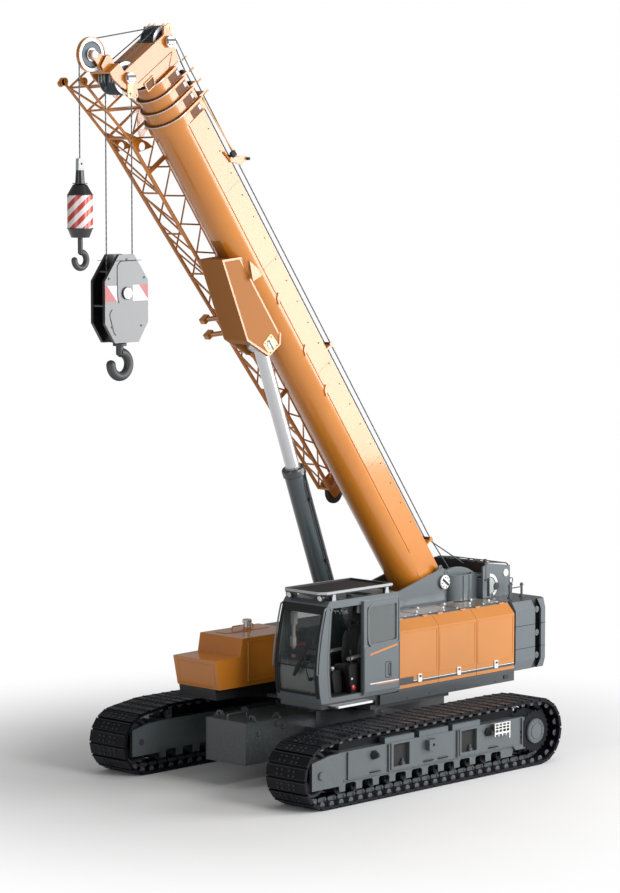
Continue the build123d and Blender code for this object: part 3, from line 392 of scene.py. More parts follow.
class Shape:
    """A closed surface as arrays: points, and blocks of faces with the same number of corners."""
    def __init__(self, points, faces):
        self.points, self.faces = np.asarray(points, float).reshape(-1, 3), faces

    def __add__(self, other):
        shift = len(self.points)
        return Shape(np.vstack((self.points, other.points)),
                     self.faces + [f + shift for f in other.faces])

    def repeat(self, places, turns=None):
        """A copy at every place; turns gives each copy's own X, Y and Z directions as rows."""
        places = np.asarray(places, float).reshape(-1, 3)
        shift = np.arange(len(places)) * len(self.points)
        points = self.points[None]
        if turns is not None:
            points = np.einsum("pk,nkj->npj", self.points, turns)
        return Shape((points + places[:, None]).reshape(-1, 3),
                     [(f[None] + shift[:, None, None]).reshape(-1, f.shape[1]) for f in self.faces])

    def facing(self, out, along=(1, 0, 0)):
        """Turned so that its own Z points out and its own X leans along."""
        out = unit(out)
        along = unit(np.asarray(along, float) - np.dot(along, out) * out)
        return Shape(self.points @ np.array((along, np.cross(out, along), out)), self.faces)

    def at(self, places, out=(0, 1, 0), along=(1, 0, 0)):
        """Copies at some places, all turned so that their own Z points out, leftwards if not told."""
        return self.facing(out, along).repeat(places)

    def mirrored(self):
        """The same shape on the crane's other side; a mirror turns faces round, so they turn back."""
        return Shape(self.points * (1, -1, 1), [f[:, ::-1] for f in self.faces])

    def both_sides(self):
        return self + self.mirrored()

    def volume(self):
        """Sum over the faces' triangles of a . (b x c) / 6: above 0 when the faces look outwards."""
        points, total = self.points - self.points.mean(0), 0.0
        for f in self.faces:
            for k in range(1, f.shape[1] - 1):
                a, b, c = points[f[:, 0]], points[f[:, k]], points[f[:, k + 1]]
                total += (a * np.cross(b, c)).sum() / 6
        return total


def joined(shapes):
    """Several shapes as one."""
    first, *others = shapes
    return sum(others, first)


def skin(rings, close=False):
    """Quads from each ring to the next; the end rings are filled, or joined to each other.
    If the volume comes out negative, the faces look inwards and are turned round."""
    rings = np.asarray(rings, float)
    rows, columns = rings.shape[:2]
    faces, order = [grid_faces(rows, columns, True, close)], np.arange(columns)[None]
    if not close:
        faces += [order[:, ::-1], order + (rows - 1) * columns]
    made = Shape(rings, faces)
    return made if made.volume() > 0 else Shape(made.points, [f[:, ::-1] for f in made.faces])


def counter_clockwise(outline):
    """The outline in the order in which its area, half the sum of x1 y2 - x2 y1, is positive."""
    outline = np.asarray(outline, float)
    x, y = outline.T
    return outline if np.sum(x * np.roll(y, -1) - np.roll(x, -1) * y) > 0 else outline[::-1]


def inset(outline, distance):
    """The outline pulled in: each corner moves along the sum of its edges' inward normals."""
    edge = unit(np.roll(outline, -1, axis=0) - outline)
    inward = np.stack((-edge[:, 1], edge[:, 0]), axis=1)
    before = np.roll(inward, 1, axis=0)
    return outline + distance * (inward + before) / (1 + (inward * before).sum(1))[:, None]


def rim(outline, section):
    """A closed section of (inset, height) pairs carried round an outline, corners mitred."""
    outline = counter_clockwise(outline)
    return skin([np.column_stack((inset(outline, d), np.full(len(outline), h)))
                 for d, h in section], True)


def plate(outline, low, high, bevel=0.0):
    """An outline carried from low to high, pulled in by the bevel at both ends."""
    outline = counter_clockwise(outline)
    levels = ((low, 0), (high, 0))
    if bevel:
        levels = ((low, bevel), (low + bevel, 0), (high - bevel, 0), (high, bevel))
    return skin([np.column_stack((inset(outline, d), np.full(len(outline), h))) for h, d in levels])


def box(low, high, bevel=0.0):
    """A block between two corners; its four upright edges are square, the others bevelled."""
    (x0, y0, z0), (x1, y1, z1) = low, high
    return plate(((x0, y0), (x1, y0), (x1, y1), (x0, y1)), z0, z1, bevel)


def boxes(corner_pairs, bevel=0.0):
    """Several blocks, each between two corners."""
    return joined(box(low, high, bevel) for low, high in corner_pairs)


def lathe(profile, sides=32):
    """(radius, height) pairs turned about Z: x = r cos a, y = r sin a."""
    turn = np.arange(sides) * math.tau / sides
    radius, height = np.asarray(profile, float).T[..., None]
    return skin(np.stack((radius * np.cos(turn), radius * np.sin(turn), height + 0 * turn), axis=-1))


def eased(points, radius, steps=5, closed=False):
    """Corners become curves (1-t)^2 a + 2 t (1-t) corner + t^2 b, a and b being a radius away."""
    points = np.asarray(points, float)
    before, after = np.roll(points, 1, axis=0), np.roll(points, -1, axis=0)
    t = np.linspace(0, 1, steps)[None, :, None]

    def towards(end):
        step = end - points
        length = np.linalg.norm(step, axis=1, keepdims=True)
        return (points + step / length * np.minimum(radius, length * 0.49))[:, None]
    curve = (1 - t) ** 2 * towards(before) + 2 * t * (1 - t) * points[:, None] + t * t * towards(after)
    if closed:
        return curve.reshape(-1, points.shape[1])
    return np.vstack((points[:1], curve[1:-1].reshape(-1, points.shape[1]), points[-1:]))


def soft(corners, radius, steps=3):
    """A closed outline with rounded corners."""
    return eased(corners, radius, steps, True)


def tube(path, radius, across=(0, 1, 0), sides=8):
    """A circle carried along a path: centre + r cos a * side + r sin a * lift at each point."""
    path = np.asarray(path, float)
    tangent = unit(np.gradient(path, axis=0))
    side = unit(np.asarray(across, float) - (tangent @ np.asarray(across, float))[:, None] * tangent)
    lift = np.cross(tangent, side)
    turn = np.arange(sides)[None, :, None] * math.tau / sides
    radius = np.broadcast_to(np.asarray(radius, float), len(path))[:, None, None]
    return skin(path[:, None] + radius * (np.cos(turn) * side[:, None] + np.sin(turn) * lift[:, None]))


def rail(corners, bend, radius, across=(0, 1, 0), sides=8):
    """A round bar along straight lines with bends between them."""
    return tube(eased(corners, bend), radius, across, sides)


def rectangle(x_low, x_high, y_low, y_high):
    return (x_low, y_low), (x_high, y_low), (x_high, y_high), (x_low, y_high)


def upright(corners, y):
    """Pairs (x, z) as points on a plane across Y."""
    return [(x, y, z) for x, z in corners]


def around(turn, a=1.0, b=None):
    """Points (a cos t, b sin t) of a circle, or of an ellipse if b is given."""
    return np.stack((a * np.cos(turn), (a if b is None else b) * np.sin(turn)), axis=-1)


def disc(radius, sides=24):
    return around(np.arange(sides) * math.tau / sides, radius)


def bolt_circle(bolt, count, radius, height):
    """Copies of a bolt at equal angles, at (r cos a, r sin a, height)."""
    return bolt.repeat(np.column_stack((disc(radius, count), np.full(count, height))))


# %% [markdown]
# Flat fittings are easiest to draw lying down and then stood up: against a side of the crane, or
# against the raised boom, whose own directions s (along) and w (across) follow from its angle.
# Each piece then rides a body of the frame, so that it moves with that body in every pose.

# %% Pieces and their places
foot_pin, boom_angle = (-2.55, 3.13), math.radians(54.3)


def seen_from_side(shape, y=0.0, left=True):
    """A shape drawn in (x, z) with its thickness as height, set on a plane across Y."""
    x, z, out = shape.points.T
    faces = shape.faces if not left else [f[:, ::-1] for f in shape.faces]
    return Shape(np.stack((x, y + (out if left else -out), z), axis=1), faces)


def side_plate(outline, y, low, high, bevel=0.0, left=True):
    """A plate drawn in (x, z) and set on a plane across Y."""
    return seen_from_side(plate(outline, low, high, bevel), y, left)


def side_rim(outline, y, section, left=True):
    """A rim drawn in (x, z) and set on a plane across Y."""
    return seen_from_side(rim(outline, section), y, left)


def flat_section(outer, inner, low, high):
    """The section of a flat rim: insets from outer to inner, heights from low to high."""
    return (outer, low), (outer, high), (inner, high), (inner, low)


def on_boom(shape):
    """A shape drawn in (s along, y, w across) carried to the boom: foot pin + s U + w W."""
    s, y, w = shape.points.T
    x = foot_pin[0] + s * math.cos(boom_angle) - w * math.sin(boom_angle)
    z = foot_pin[1] + s * math.sin(boom_angle) + w * math.cos(boom_angle)
    return Shape(np.stack((x, y, z), axis=1), shape.faces)


def on_boom_side(shape, y=0.0, left=True):
    """A shape drawn in (s, w) with its thickness as height, set flat on the boom's side."""
    return on_boom(seen_from_side(shape, y, left))


def boom_plate(outline, y, low, high, bevel=0.0, left=True):
    """A plate drawn in (s, w) and set flat on the boom's side."""
    return on_boom_side(plate(outline, low, high, bevel), y, left)


def mesh_object(name, shape, material):
    """A mesh of the shape with its finish, at the origin and linked to the scene."""
    mesh = bpy.data.meshes.new(name)
    faces = [row for block in shape.faces for row in block.tolist()]
    mesh.from_pydata(shape.points.tolist(), [], faces)
    mesh.materials.append(material)
    made = bpy.data.objects.new(name, mesh)
    bpy.context.scene.collection.objects.link(made)
    return made


def piece(name, shape, material, body="superstructure", crease=35):
    """A mesh of the shape, smooth except across edges sharper than the crease. It rides a body;
    given a tuple (body, next body, start, end) instead, it rides none and stays where it is drawn."""
    made = mesh_object(name, shape, material)
    made.data.shade_smooth()
    made.data.set_sharp_from_angle(angle=math.radians(crease))
    if isinstance(body, tuple):
        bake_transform(made)
    else:
        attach(made, body)
    print(f"{name}: {len(made.data.polygons)} faces")
    return made


hexagon_bolt = plate(disc(0.020, 6), 0, 0.014, 0.003)
small_bolt = plate(disc(0.014, 6), 0, 0.010, 0.002)
# %% [markdown]
# ## Tracks
# Each shoe has a grouser bar on its leading edge, a lower heel bar behind and four pairs of bolt
# heads; under it sit the plates, pins and guide lugs of its chain link. They could be set one by
# one, but the chain is regular: the line that the CAD follows is worked out again here, and each
# shoe's place and direction are read off it for all 62 shoes at once.

# %% The line of the track
shoe_count, shoe_gap, track_middle = 62, 0.034, 2.2
idler, sprocket = (2.8, 0.565), (-2.755, 0.6)
top_front, top_rear = (2.2, 1.214), (-2.3, 1.214)


def touching_angle(wheel, point, side):
    """Angle on a wheel that stands on the ground where a line from an outside point touches it."""
    (x, radius), (point_x, point_z) = wheel, point
    reach = math.hypot(point_x - x, point_z - radius)
    return math.atan2(point_z - radius, point_x - x) + side * math.acos(radius / reach)


def wheel_arc(wheel, start, end):
    return wheel + around(np.linspace(start, end, 400), wheel[1])


front_arc = wheel_arc(idler, -math.pi / 2, touching_angle(idler, top_front, -1))
rear_arc = wheel_arc(sprocket, touching_angle(sprocket, top_rear, 1), 1.5 * math.pi)
ground_line = np.vstack(([(sprocket[0], 0)], front_arc, [top_front, top_rear], rear_arc))
travelled = np.append(0, np.cumsum(np.linalg.norm(np.diff(ground_line, axis=0), axis=1)))


def on_track(distance):
    """Points (x, 0, z) of the outer face, at distances travelled along it."""
    return np.stack((np.interp(distance, travelled, ground_line[:, 0]), 0 * distance,
                     np.interp(distance, travelled, ground_line[:, 1])), axis=1)


pitch = travelled[-1] / shoe_count
shoe_start = on_track(np.arange(shoe_count) * pitch + shoe_gap / 2)
shoe_end = on_track((np.arange(shoe_count) + 1) * pitch - shoe_gap / 2)
shoe_middle, shoe_along = (shoe_start + shoe_end) / 2, unit(shoe_end - shoe_start)
shoe_right = np.broadcast_to((0.0, -1.0, 0.0), shoe_along.shape)
shoe_axes = np.stack((shoe_along, shoe_right, np.cross(shoe_along, shoe_right)), axis=1)
print("track", round(float(travelled[-1]), 3), "m, pitch", round(float(pitch), 4), "m")

# %% [markdown]
# One shoe's fittings are drawn round the origin, with X along the track and Z outwards, and are
# copied to every shoe. The shoes that lie on the ground go without grousers and bolts, which
# would stand in the floor there.

# %% Grousers, bolts and chain links
leftwards, forwards = (0, 1, 0), (1, 0, 0)
half_shoe, half_width, link_depth, lug_depth = (pitch - shoe_gap) / 2, 0.44, -0.107, -0.1
grouser = box((half_shoe - 0.026, -half_width, -0.002), (half_shoe - 0.006, half_width, 0.013), 0.004)
heel = box((-half_shoe + 0.004, -half_width, -0.002), (-half_shoe + 0.016, half_width, 0.005), 0.002)
shoe_bolts = hexagon_bolt.repeat([(x, y, -0.001) for x in (-0.052, 0.03)
                                  for y in (-0.19, -0.08, 0.08, 0.19)])
link_outline = soft(rectangle(-0.105, 0.105, -0.036, 0.036), 0.03)
link_side = plate(link_outline, 0.125, 0.139, 0.003).at([(0, 0, link_depth)])
link_pin = plate(disc(0.026, 10), 0.139, 0.152, 0.003).at([(-0.07, 0, link_depth)])
lug_outline = soft(((-0.065, -0.05), (0.065, -0.05), (0.035, 0.022), (-0.035, 0.022)), 0.02)
guide_lug = plate(lug_outline, 0.345, 0.365, 0.003).at([(0, 0, lug_depth)])
links = (link_side + link_pin + guide_lug).both_sides()
off_ground = shoe_middle[:, 2] > 0.03
# Grousers and heels take a lighter steel than the shoes: partly wear on their edges, partly a painted
# highlight for the glints along them.
wear_and_glint_steel = worn_steel("grouser_wear_and_glint", from_srgb(44, 46, 54), 0.3, 0.5, 0.3, 0.3)
under, every = "undercarriage", slice(None)
for side, y in (("left", track_middle), ("right", -track_middle)):
    for name, shape, steel, chosen in (("grousers", grouser + heel, wear_and_glint_steel, off_ground),
                                       ("shoe_bolts", shoe_bolts, link_steel, off_ground),
                                       ("chain_links", links, link_grey, every)):
        row = shape.repeat(shoe_middle[chosen] + (0, y, 0), shoe_axes[chosen])
        piece(f"{name}_{side}", row, steel, under)

# %% [markdown]
# ## Track frames
# The box beams carry rock guards on top, ribs, the round cover of the final drive inside a black
# toothed disc, and a cap on the idler's axle. Dark pieces follow: hexagonal plugs, lifting loops,
# the open ends of the two crossbeam sockets, the slots beside them and a guide under the upper
# run of the chain. White steps end the row. Both sides are the same, so each piece is drawn once
# on the left frame and mirrored.

# %% Fittings of the track frames
frame_face = 2.5
face_in, face_out = frame_face - 0.001, frame_face + 0.032
guards = boxes((((x, 2.36, 0.89), (end, frame_face, 1.005))
                for x, end in ((0.47, 1.215), (-0.42, 0.335), (-1.27, -0.535))), 0.012)
ribs = boxes((((x, face_in, 0.40), (x + 0.022, face_out, 0.885))
              for x in (1.125, -0.66, 2.145, -2.41)), 0.004)
ledge = box((-2.2, face_in, 0.395), (2.25, frame_face + 0.018, 0.412), 0.003)
hub_face = lathe([(0.226, 0), (0.226, 0.045), (0.212, 0.06), (0.165, 0.06), (0.158, 0.05), (0.142, 0.05),
                  (0.135, 0.062), (0.02, 0.066)], 48)
hub = (hub_face + bolt_circle(small_bolt, 16, 0.19, 0.059)).at(
    [(sprocket[0], frame_face - 0.004, sprocket[1])])
idler_cap = lathe([(0.075, 0), (0.075, 0.02), (0.062, 0.034), (0.03, 0.036)], 24).at(
    [(idler[0], frame_face - 0.002, idler[1])])
piece("frame_fittings", (guards + ribs + ledge + hub + idler_cap).both_sides(), frame_grey, under)

knob = lathe([(0.085, -0.01), (0.085, 0.03), (0.06, 0.06), (0.035, 0.125), (0.014, 0.135)], 6)
knobs = knob.at([(x, frame_face, 0.75) for x in (1.5, -1.47)])
arch = np.linspace(0, math.pi, 9)
loop_path = np.column_stack((around(arch, 0.13, 0.05), 0.012 * np.sin(arch)))
loops = tube(loop_path, 0.011, (0, 0, 1), 6).repeat([(x, frame_face - 0.004, 0.452)
                                                    for x in (1.47, 0.1, -0.28, -1.63)])
sockets = boxes((((x - 0.215, 2.42, 0.45), (x + 0.215, 2.432, 0.88)) for x in (-0.98, 0.79)), 0.003)
slots = boxes((((x, face_in, 0.42), (x + 0.075, frame_face + 0.003, 0.885))
               for x in (1.048, -0.735)), 0.001)
piece("frame_knobs", (knobs + loops + sockets + slots).both_sides(), black_rubber, under)
chain_guides = box((-2.35, 2.06, 0.86), (2.2, 2.34, 1.06), 0.02)
tooth_turn = np.linspace(0, math.tau, 96, endpoint=False)
tooth_radius = 0.37 + 0.022 * np.tanh(4 * np.sin(24 * tooth_turn))
teeth = side_plate(sprocket + around(tooth_turn, tooth_radius), frame_face, -0.002, 0.012)
piece("chain_guides", (chain_guides + teeth).both_sides(), shoe_steel,
      "undercarriage")
socket_pins = lathe([(0.045, 0), (0.045, 0.05), (0.02, 0.07), (0.02, 0.11)], 12).repeat(
    [(x, 2.455, 0.464) for x in (0.72, -1.05)])
piece("socket_pins", socket_pins.both_sides(), link_grey, under)

rails = box((-1.95, 2.612, 0.60), (-1.93, 2.624, 0.90), 0.003) + boxes(
    (((-1.95 + 0.1 * i, 2.612, 0.66), (-1.935 + 0.1 * i, 2.624, 0.90)) for i in range(1, 5)), 0.003)
rungs = boxes((((-1.955, 2.610, z), (-1.545, 2.622, top))
               for z, top in ((0.70, 0.73), (0.78, 0.794), (0.83, 0.844), (0.885, 0.899))), 0.003)
treads = boxes((((-1.935 + 0.05 * i, 2.5, z), (-1.925 + 0.05 * i, 2.61, z + 0.006))
                for i in range(8) for z in (0.730, 0.880)), 0.001)
tread_edge = box((-1.95, 2.6, 0.880), (-1.55, 2.612, 0.892), 0.002)
piece("frame_steps", (rails + rungs + tread_edge + treads).both_sides(), white_paint, under)

# %% [markdown]
# The middle box of the undercarriage is a plain welded girder. Its edges catch the light, so a
# thin weld bead is carried round its front and rear faces. Two more lifting lugs, a grab rail
# and a few rope hooks stand on it.

# %% Fittings of the carbody
bead = rim(rectangle(-0.485, 0.485, 0.43, 1.17), flat_section(-0.004, 0.012, 0, 0.008)).at(
    [(2.573, 0, 0)], forwards, leftwards)
rear_bead = Shape(bead.points * (-1, 1, 1), [f[:, ::-1] for f in bead.faces])
lug_outline = soft(((-0.1, 0), (0.1, 0), (0.05, 0.085), (-0.05, 0.085)), 0.03)
lug = plate(lug_outline, -0.018, 0.018, 0.004).facing(forwards, leftwards)
eye = tube(np.column_stack((0 * arch, around(2 * arch, 0.034))), 0.008, forwards, 6)
lugs = joined(lug.repeat([(1.72, y, 1.168)]) + eye.repeat([(1.742, y, 1.215)]) for y in (-0.395, 0.395))
grab = rail(upright(((2.42, 1.165), (2.42, 1.235), (1.95, 1.235), (1.95, 1.165)), -0.12), 0.04, 0.014)
hook = rail([(2.28, 0.483, 0.99), (2.28, 0.53, 0.99), (2.28, 0.53, 0.92), (2.28, 0.483, 0.92)], 0.02,
            0.010, forwards, 6)
hooks = hook.repeat([(0, 0, 0), (-0.45, 0, 0.12), (-0.62, 0, 0.05), (-3.9, 0, 0.1)])
fittings = bead + rear_bead + lugs + grab + hooks.both_sides()
piece("carbody_fittings", fittings, dark_grey, under)
ring_bolts = bolt_circle(hexagon_bolt, 36, 0.905, 1.168)
piece("ring_bolts", ring_bolts, link_grey, under)

# %% [markdown]
# ## Housing, doors and counterweight
# The three engine doors are pressed sheets: each has a raised rim just inside its edge, and a
# white latch at its foot. The stripe along their feet is paint, so it isn't built: the paint
# finish looks at the height of each point and picks dark, white or orange there, with edges as
# sharp as a mask.

# %% Painted stripes
def striped(name, plain, bands, roughness=0.3):
    """Paint with flat bands on top; a band is (mask made from the finish, colour)."""
    finish = Finish(name, coat_weight=0.5, coat_roughness=0.08)
    fine = finish.noise(26, 5, 0.6)
    darker, lighter = tuple(c * 0.86 for c in plain), tuple(c * 1.08 for c in plain)
    base = finish.mix(finish.noise(0.9, 3), darker, lighter)
    for mask, colour in bands:
        base = finish.mix(mask(finish), base, colour)
    return finish.use(colour=base, roughness=roughness + fine * 0.10,
                      normal=finish.bump(finish.noise(420, 2, 0.5), 0.0006, 0.25)).material


dark_colour = from_srgb(52, 56, 60)
door_paint = striped("door_paint", from_srgb(184, 118, 52), (
    (lambda f: f.z.between(1.607, 1.668), dark_colour),
    (lambda f: f.z.between(1.648, 1.660), from_srgb(226, 226, 224)),
    (lambda f: f.z.between(1.607, 1.735) * f.x.between(-0.62, -0.16), dark_colour)))
# The counterweight's thin near-black bands are the joints between its slabs. Its darker top (above z =
# 2.745) and the near-black inside of the recesses at its side lugs are painted shade.
slab_paint = striped("slab_paint", from_srgb(88, 96, 101), (
    (lambda f: f.z.between(1.878, 1.892) + f.z.between(2.298, 2.312), from_srgb(20, 21, 23)),
    (lambda f: f.z > 2.745, from_srgb(36, 39, 42)),
    (lambda f: f.x.between(-4.132, -3.958) * (f.y.size() > 1.379) * (f.y.size() < 1.465),
     from_srgb(24, 25, 27))), 0.38)
hood_paint = striped("hood_paint", from_srgb(58, 63, 67), (
    (lambda f: (f.z > 2.742) * (f.y < 1.36), from_srgb(128, 116, 108)),))
for node in ("engine_door_front", "engine_door_middle", "engine_door_rear"):
    finish_node(node, door_paint)
finish_node("counterweight", slab_paint)
finish_node("engine_hood", hood_paint)

# %% [markdown]
# A pressed rim is a low trapezoid carried round the sheet's outline, which is simpler and cleaner
# than bevelling the sheet. Each one rides its own door and swings open with it. The same section
# marks the panels of the right housing.

# %% Door rims, latches and walkway bolts
wall, walkway = 1.5, 2.749
pressed_edge = (0, -0.001), (0.004, 0.007), (0.018, 0.007), (0.022, -0.001)
fold = (0, -0.001), (0.004, 0.006), (0.016, 0.006), (0.02, -0.001)
for body, high, low, x in (("front_door", -0.22, -1.282, -0.775), ("middle_door", -1.282, -2.317, -1.824),
                           ("rear_door", -2.317, -3.37, -2.849)):
    outline = soft(rectangle(low + 0.03, high - 0.03, 1.75, 2.545), 0.02)
    piece(f"{body}_rim", side_rim(outline, wall, pressed_edge), orange, body)
    outline = soft(rectangle(x - 0.05, x + 0.05, 1.615, 1.76), 0.018, 4)
    latch = side_plate(outline, wall, -0.002, 0.024, 0.006)
    piece(f"{body}_latch", latch, white_paint, body)
    outline = (x - 0.03, 1.70), (x + 0.03, 1.70), (x + 0.022, 1.742), (x - 0.022, 1.742)
    piece(f"{body}_paddle", side_plate(outline, wall, 0.02, 0.034, 0.004), dark_grey, body)

dome = lathe([(0.024, 0), (0.024, 0.012), (0.016, 0.026), (0.006, 0.03)], 10)
bolt_rows = ((1.22, (-0.32, -0.70, -0.98, -1.36, -1.74, -2.10, -2.45, -2.82, -3.2)),
             (0.95, (-0.62, -1.30, -2.02, -2.75, -3.28)), (0.66, (-1.02, -1.66, -2.38, -3.12)))
domes = dome.repeat([(x, y, walkway) for y, row in bolt_rows for x in row])
seams = boxes((((x - 0.006, 0.57, 2.7495), (x + 0.006, 1.31, 2.754)) for x in (-1.15, -2.2)), 0.001)
piece("walkway_bolts", domes, white_paint)
curb = boxes((((-3.36, y, walkway), (-0.24, y + 0.02, 2.775)) for y in (0.575, 1.295)), 0.004)
piece("walkway_curbs", curb + seams, dark_grey)

louvres = boxes((((-2.9, -1.512, z), (-1.7, -1.498, z + 0.035))
                 for z in np.arange(1.75, 2.2, 0.075)), 0.006)
panels = joined(side_rim(rectangle(x, x + 0.98, 1.56, 2.26), -wall, pressed_edge, False)
                for x in (-3.34, -2.28, -1.22))
piece("right_housing_panels", panels + louvres, dark_grey)

# %% [markdown]
# The deck's edge beam carries a marker light and small fixings. On the counterweight stand the
# posts that guide its lifting tackle, and rims stand round the lugs in its side.

# %% Deck and counterweight fittings
marker = plate(soft(rectangle(-3.2, -3.07, 1.385, 1.455), 0.015), -0.002, 0.016, 0.004)
beam_bolts = joined(plate(disc(0.014, 8) + (x, 1.37), -0.001, 0.006)
                    for x in (-0.45, -1.05, -1.75, -2.35, -2.85))
fixings = joined(seen_from_side(shape, wall if left else -wall, left)
                 for left in (True, False) for shape in (marker, beam_bolts))
piece("deck_fixings", fixings, black_paint)
post = lathe([(0.05, 0), (0.05, 0.02), (0.022, 0.03), (0.022, 0.2), (0.034, 0.205), (0.034, 0.235),
              (0.012, 0.26)], 14).repeat([(-3.82, 1, walkway), (-4.02, 0.86, walkway), (-4.16, 1, walkway)])
ring_turn = np.linspace(0, math.tau, 17)
handle = tube(upright(around(ring_turn, 0.05), 0), 0.01, leftwards, 6).repeat([(-4.02, 0.86, 3.05)])
post_rail = tube([(-3.82, 1.0, 2.93), (-4.16, 1.0, 2.93)], 0.012, leftwards, 6)
piece("weight_posts", (post + handle + post_rail).both_sides(), link_grey)
lug_places = [(-4.045, z) for z in (1.7175, 2.135, 2.5675)]
lug_rims = joined(side_rim(disc(0.05, 20) + place, 1.47, flat_section(0, 0.012, 0, 0.006))
                  for place in lug_places)
lug_pins = joined(side_plate(disc(0.02, 12) + place, 1.47, 0, 0.01, 0.002) for place in lug_places)
piece("weight_lug_rims", (lug_rims + lug_pins).both_sides(), weight_grey)

# %% [markdown]
# ## Winches
# The rope on each drum is one turned surface whose radius ripples by a rope's thickness, which
# reads as rope laid turn beside turn at a fraction of the faces of a real helix. White covers
# close the boom's foot pin and the rear plate, where only an arc of the drum's flange shows.

# %% Rope layers and pin covers
front_drum, rear_drum, pin_place = (-3.06, 2.88), (-3.84, 2.94), (-2.55, 0.518, 3.13)


def rope_layer(radius, half_width, rope_width=0.026, sides=28):
    """Radius = r + half a rope * |sin(pi * y / rope width)| along the drum, turned about Y."""
    across = np.linspace(-half_width, half_width, int(2 * half_width / rope_width) * 5 + 1)
    ripple = radius + rope_width / 2 * np.abs(np.sin(math.pi * (across + half_width) / rope_width))
    return lathe(np.stack((ripple, across), axis=1), sides).facing(leftwards)


layers = joined(rope_layer(0.2, half_width).repeat([(x, 0, z)])
                for half_width, (x, z) in ((0.385, front_drum), (0.535, rear_drum)))
piece("drum_rope", layers, drum_rope_finish, crease=70)
cover = lathe([(0.128, 0), (0.128, 0.018), (0.112, 0.03), (0.03, 0.03)], 36).at([pin_place])
strap = box((-0.10, -0.022, 0.028), (0.10, 0.022, 0.04), 0.004)
pin_details = (bolt_circle(small_bolt, 8, 0.09, 0.028) + strap).at([pin_place], leftwards, (0.8, 0, 0.6))
small_cover = lathe([(0.07, 0), (0.07, 0.014), (0.058, 0.024), (0.02, 0.024)], 28).at(
    [(-4.12, 0.638, 3.16)])
sweep = np.radians(np.linspace(0, 150, 24))


def swept(radius):
    """Points of the flange's visible arc: x = x0 - r sin a, z = z0 + r cos a."""
    return np.stack((-3.66 - radius * np.sin(sweep), 2.96 + radius * np.cos(sweep)), axis=1)


flange_arc = side_plate(np.vstack((swept(0.225), swept(0.172)[::-1])), 0.64, -0.001, 0.014)
piece("pin_covers", (cover + small_cover + flange_arc).both_sides(), white_paint)
piece("pin_cover_bolts", pin_details.both_sides(), black_paint)

# %% [markdown]
# Between the drums stands a guard of bent sheet: two half ellipses, one inside the other, carried
# upwards. The drums' motors, a mast with its rails and a black cross beam fill what shows between
# the rear plates; what they hide stays plain. The black beam is painted shade: it stands for the
# far plate and the drum guard, which lie in shadow.

# %% Guard, flanges, motors and beam
half_turn = np.linspace(0, math.pi, 17)
sheet = np.vstack((around(half_turn, 0.325, 0.19), around(half_turn, -0.305, 0.17)))
guard = plate(sheet + (-2.975, 0.487), 2.76, 3.24, 0.004)
guard_seams = boxes((((x, 0.66, 2.77), (x + 0.012, 0.684, 3.23)) for x in (-2.90, -3.06)), 0.003)
piece("rope_guard", guard + guard_seams, mid_grey)
flange_slot = side_plate(rectangle(-3.655, -3.61, 2.77, 3.10), 0.64, -0.001, 0.016)
piece("flange_slots", flange_slot.both_sides(), black_rubber)
flange = side_plate(np.vstack((swept(0.155), [(-3.66, 2.80)])), 0.64, -0.001, 0.01)
piece("flanges", flange.both_sides(), light_grey)
motor = lathe([(0.12, 0), (0.12, 0.07), (0.075, 0.09), (0.075, 0.17), (0.05, 0.19)], 24).facing(leftwards)
motors = motor.mirrored().repeat([(-3.84, -0.638, 2.96), (-3.06, -0.483, 2.88)])
mast = lathe([(0.045, 0), (0.045, 0.03), (0.026, 0.04), (0.026, 0.36), (0.04, 0.37), (0.04, 0.40),
              (0.01, 0.41)], 14).repeat([(-3.56, 0.62, 3.06)])
top_rail = rail(upright(((-3.54, 3.31), (-3.62, 3.405), (-4.18, 3.34), (-4.24, 3.25)), 0.62), 0.06, 0.013)
cross_rails = joined(tube([(x, -0.62, z), (x, 0.62, z)], 0.011, forwards, 6)
                     for x, z in ((-3.64, 3.40), (-4.16, 3.34)))
wheels = lathe([(0.07, -0.02), (0.075, -0.02), (0.055, 0), (0.075, 0.02), (0.07, 0.02)], 24).at(
    [(-3.645, y, 3.356) for y in (0.30, -0.30)])
blocks = boxes((((-3.62, y, 3.39), (-3.53, y + 0.05, 3.425)) for y in (-0.35, -0.1, 0.15, 0.4)), 0.006)
# Black beam as painted shade, for the far plate and drum guard in shadow.
shade_beam = box((-3.60, -0.63, 3.20), (-3.54, 0.63, 3.40), 0.01) + blocks
piece("winch_shade_beam", shade_beam, black_paint)
piece("winch_details", motors + mast + top_rail.both_sides() + cross_rails + wheels, dark_grey)
gear_lugs = joined(side_rim(disc(0.05, 18) + place, 0.484, flat_section(0, 0.022, 0, 0.012))
                   for place in ((-2.46, 3.40), (-2.63, 3.29)))
piece("frame_lug_rims", gear_lugs.both_sides(), mid_grey)

# %% [markdown]
# ## Tank
# The tank is a folded box: its top, its leaning front and its sides have soft presses, and a
# bright filler with its cap stands on top beside a lifting bar.

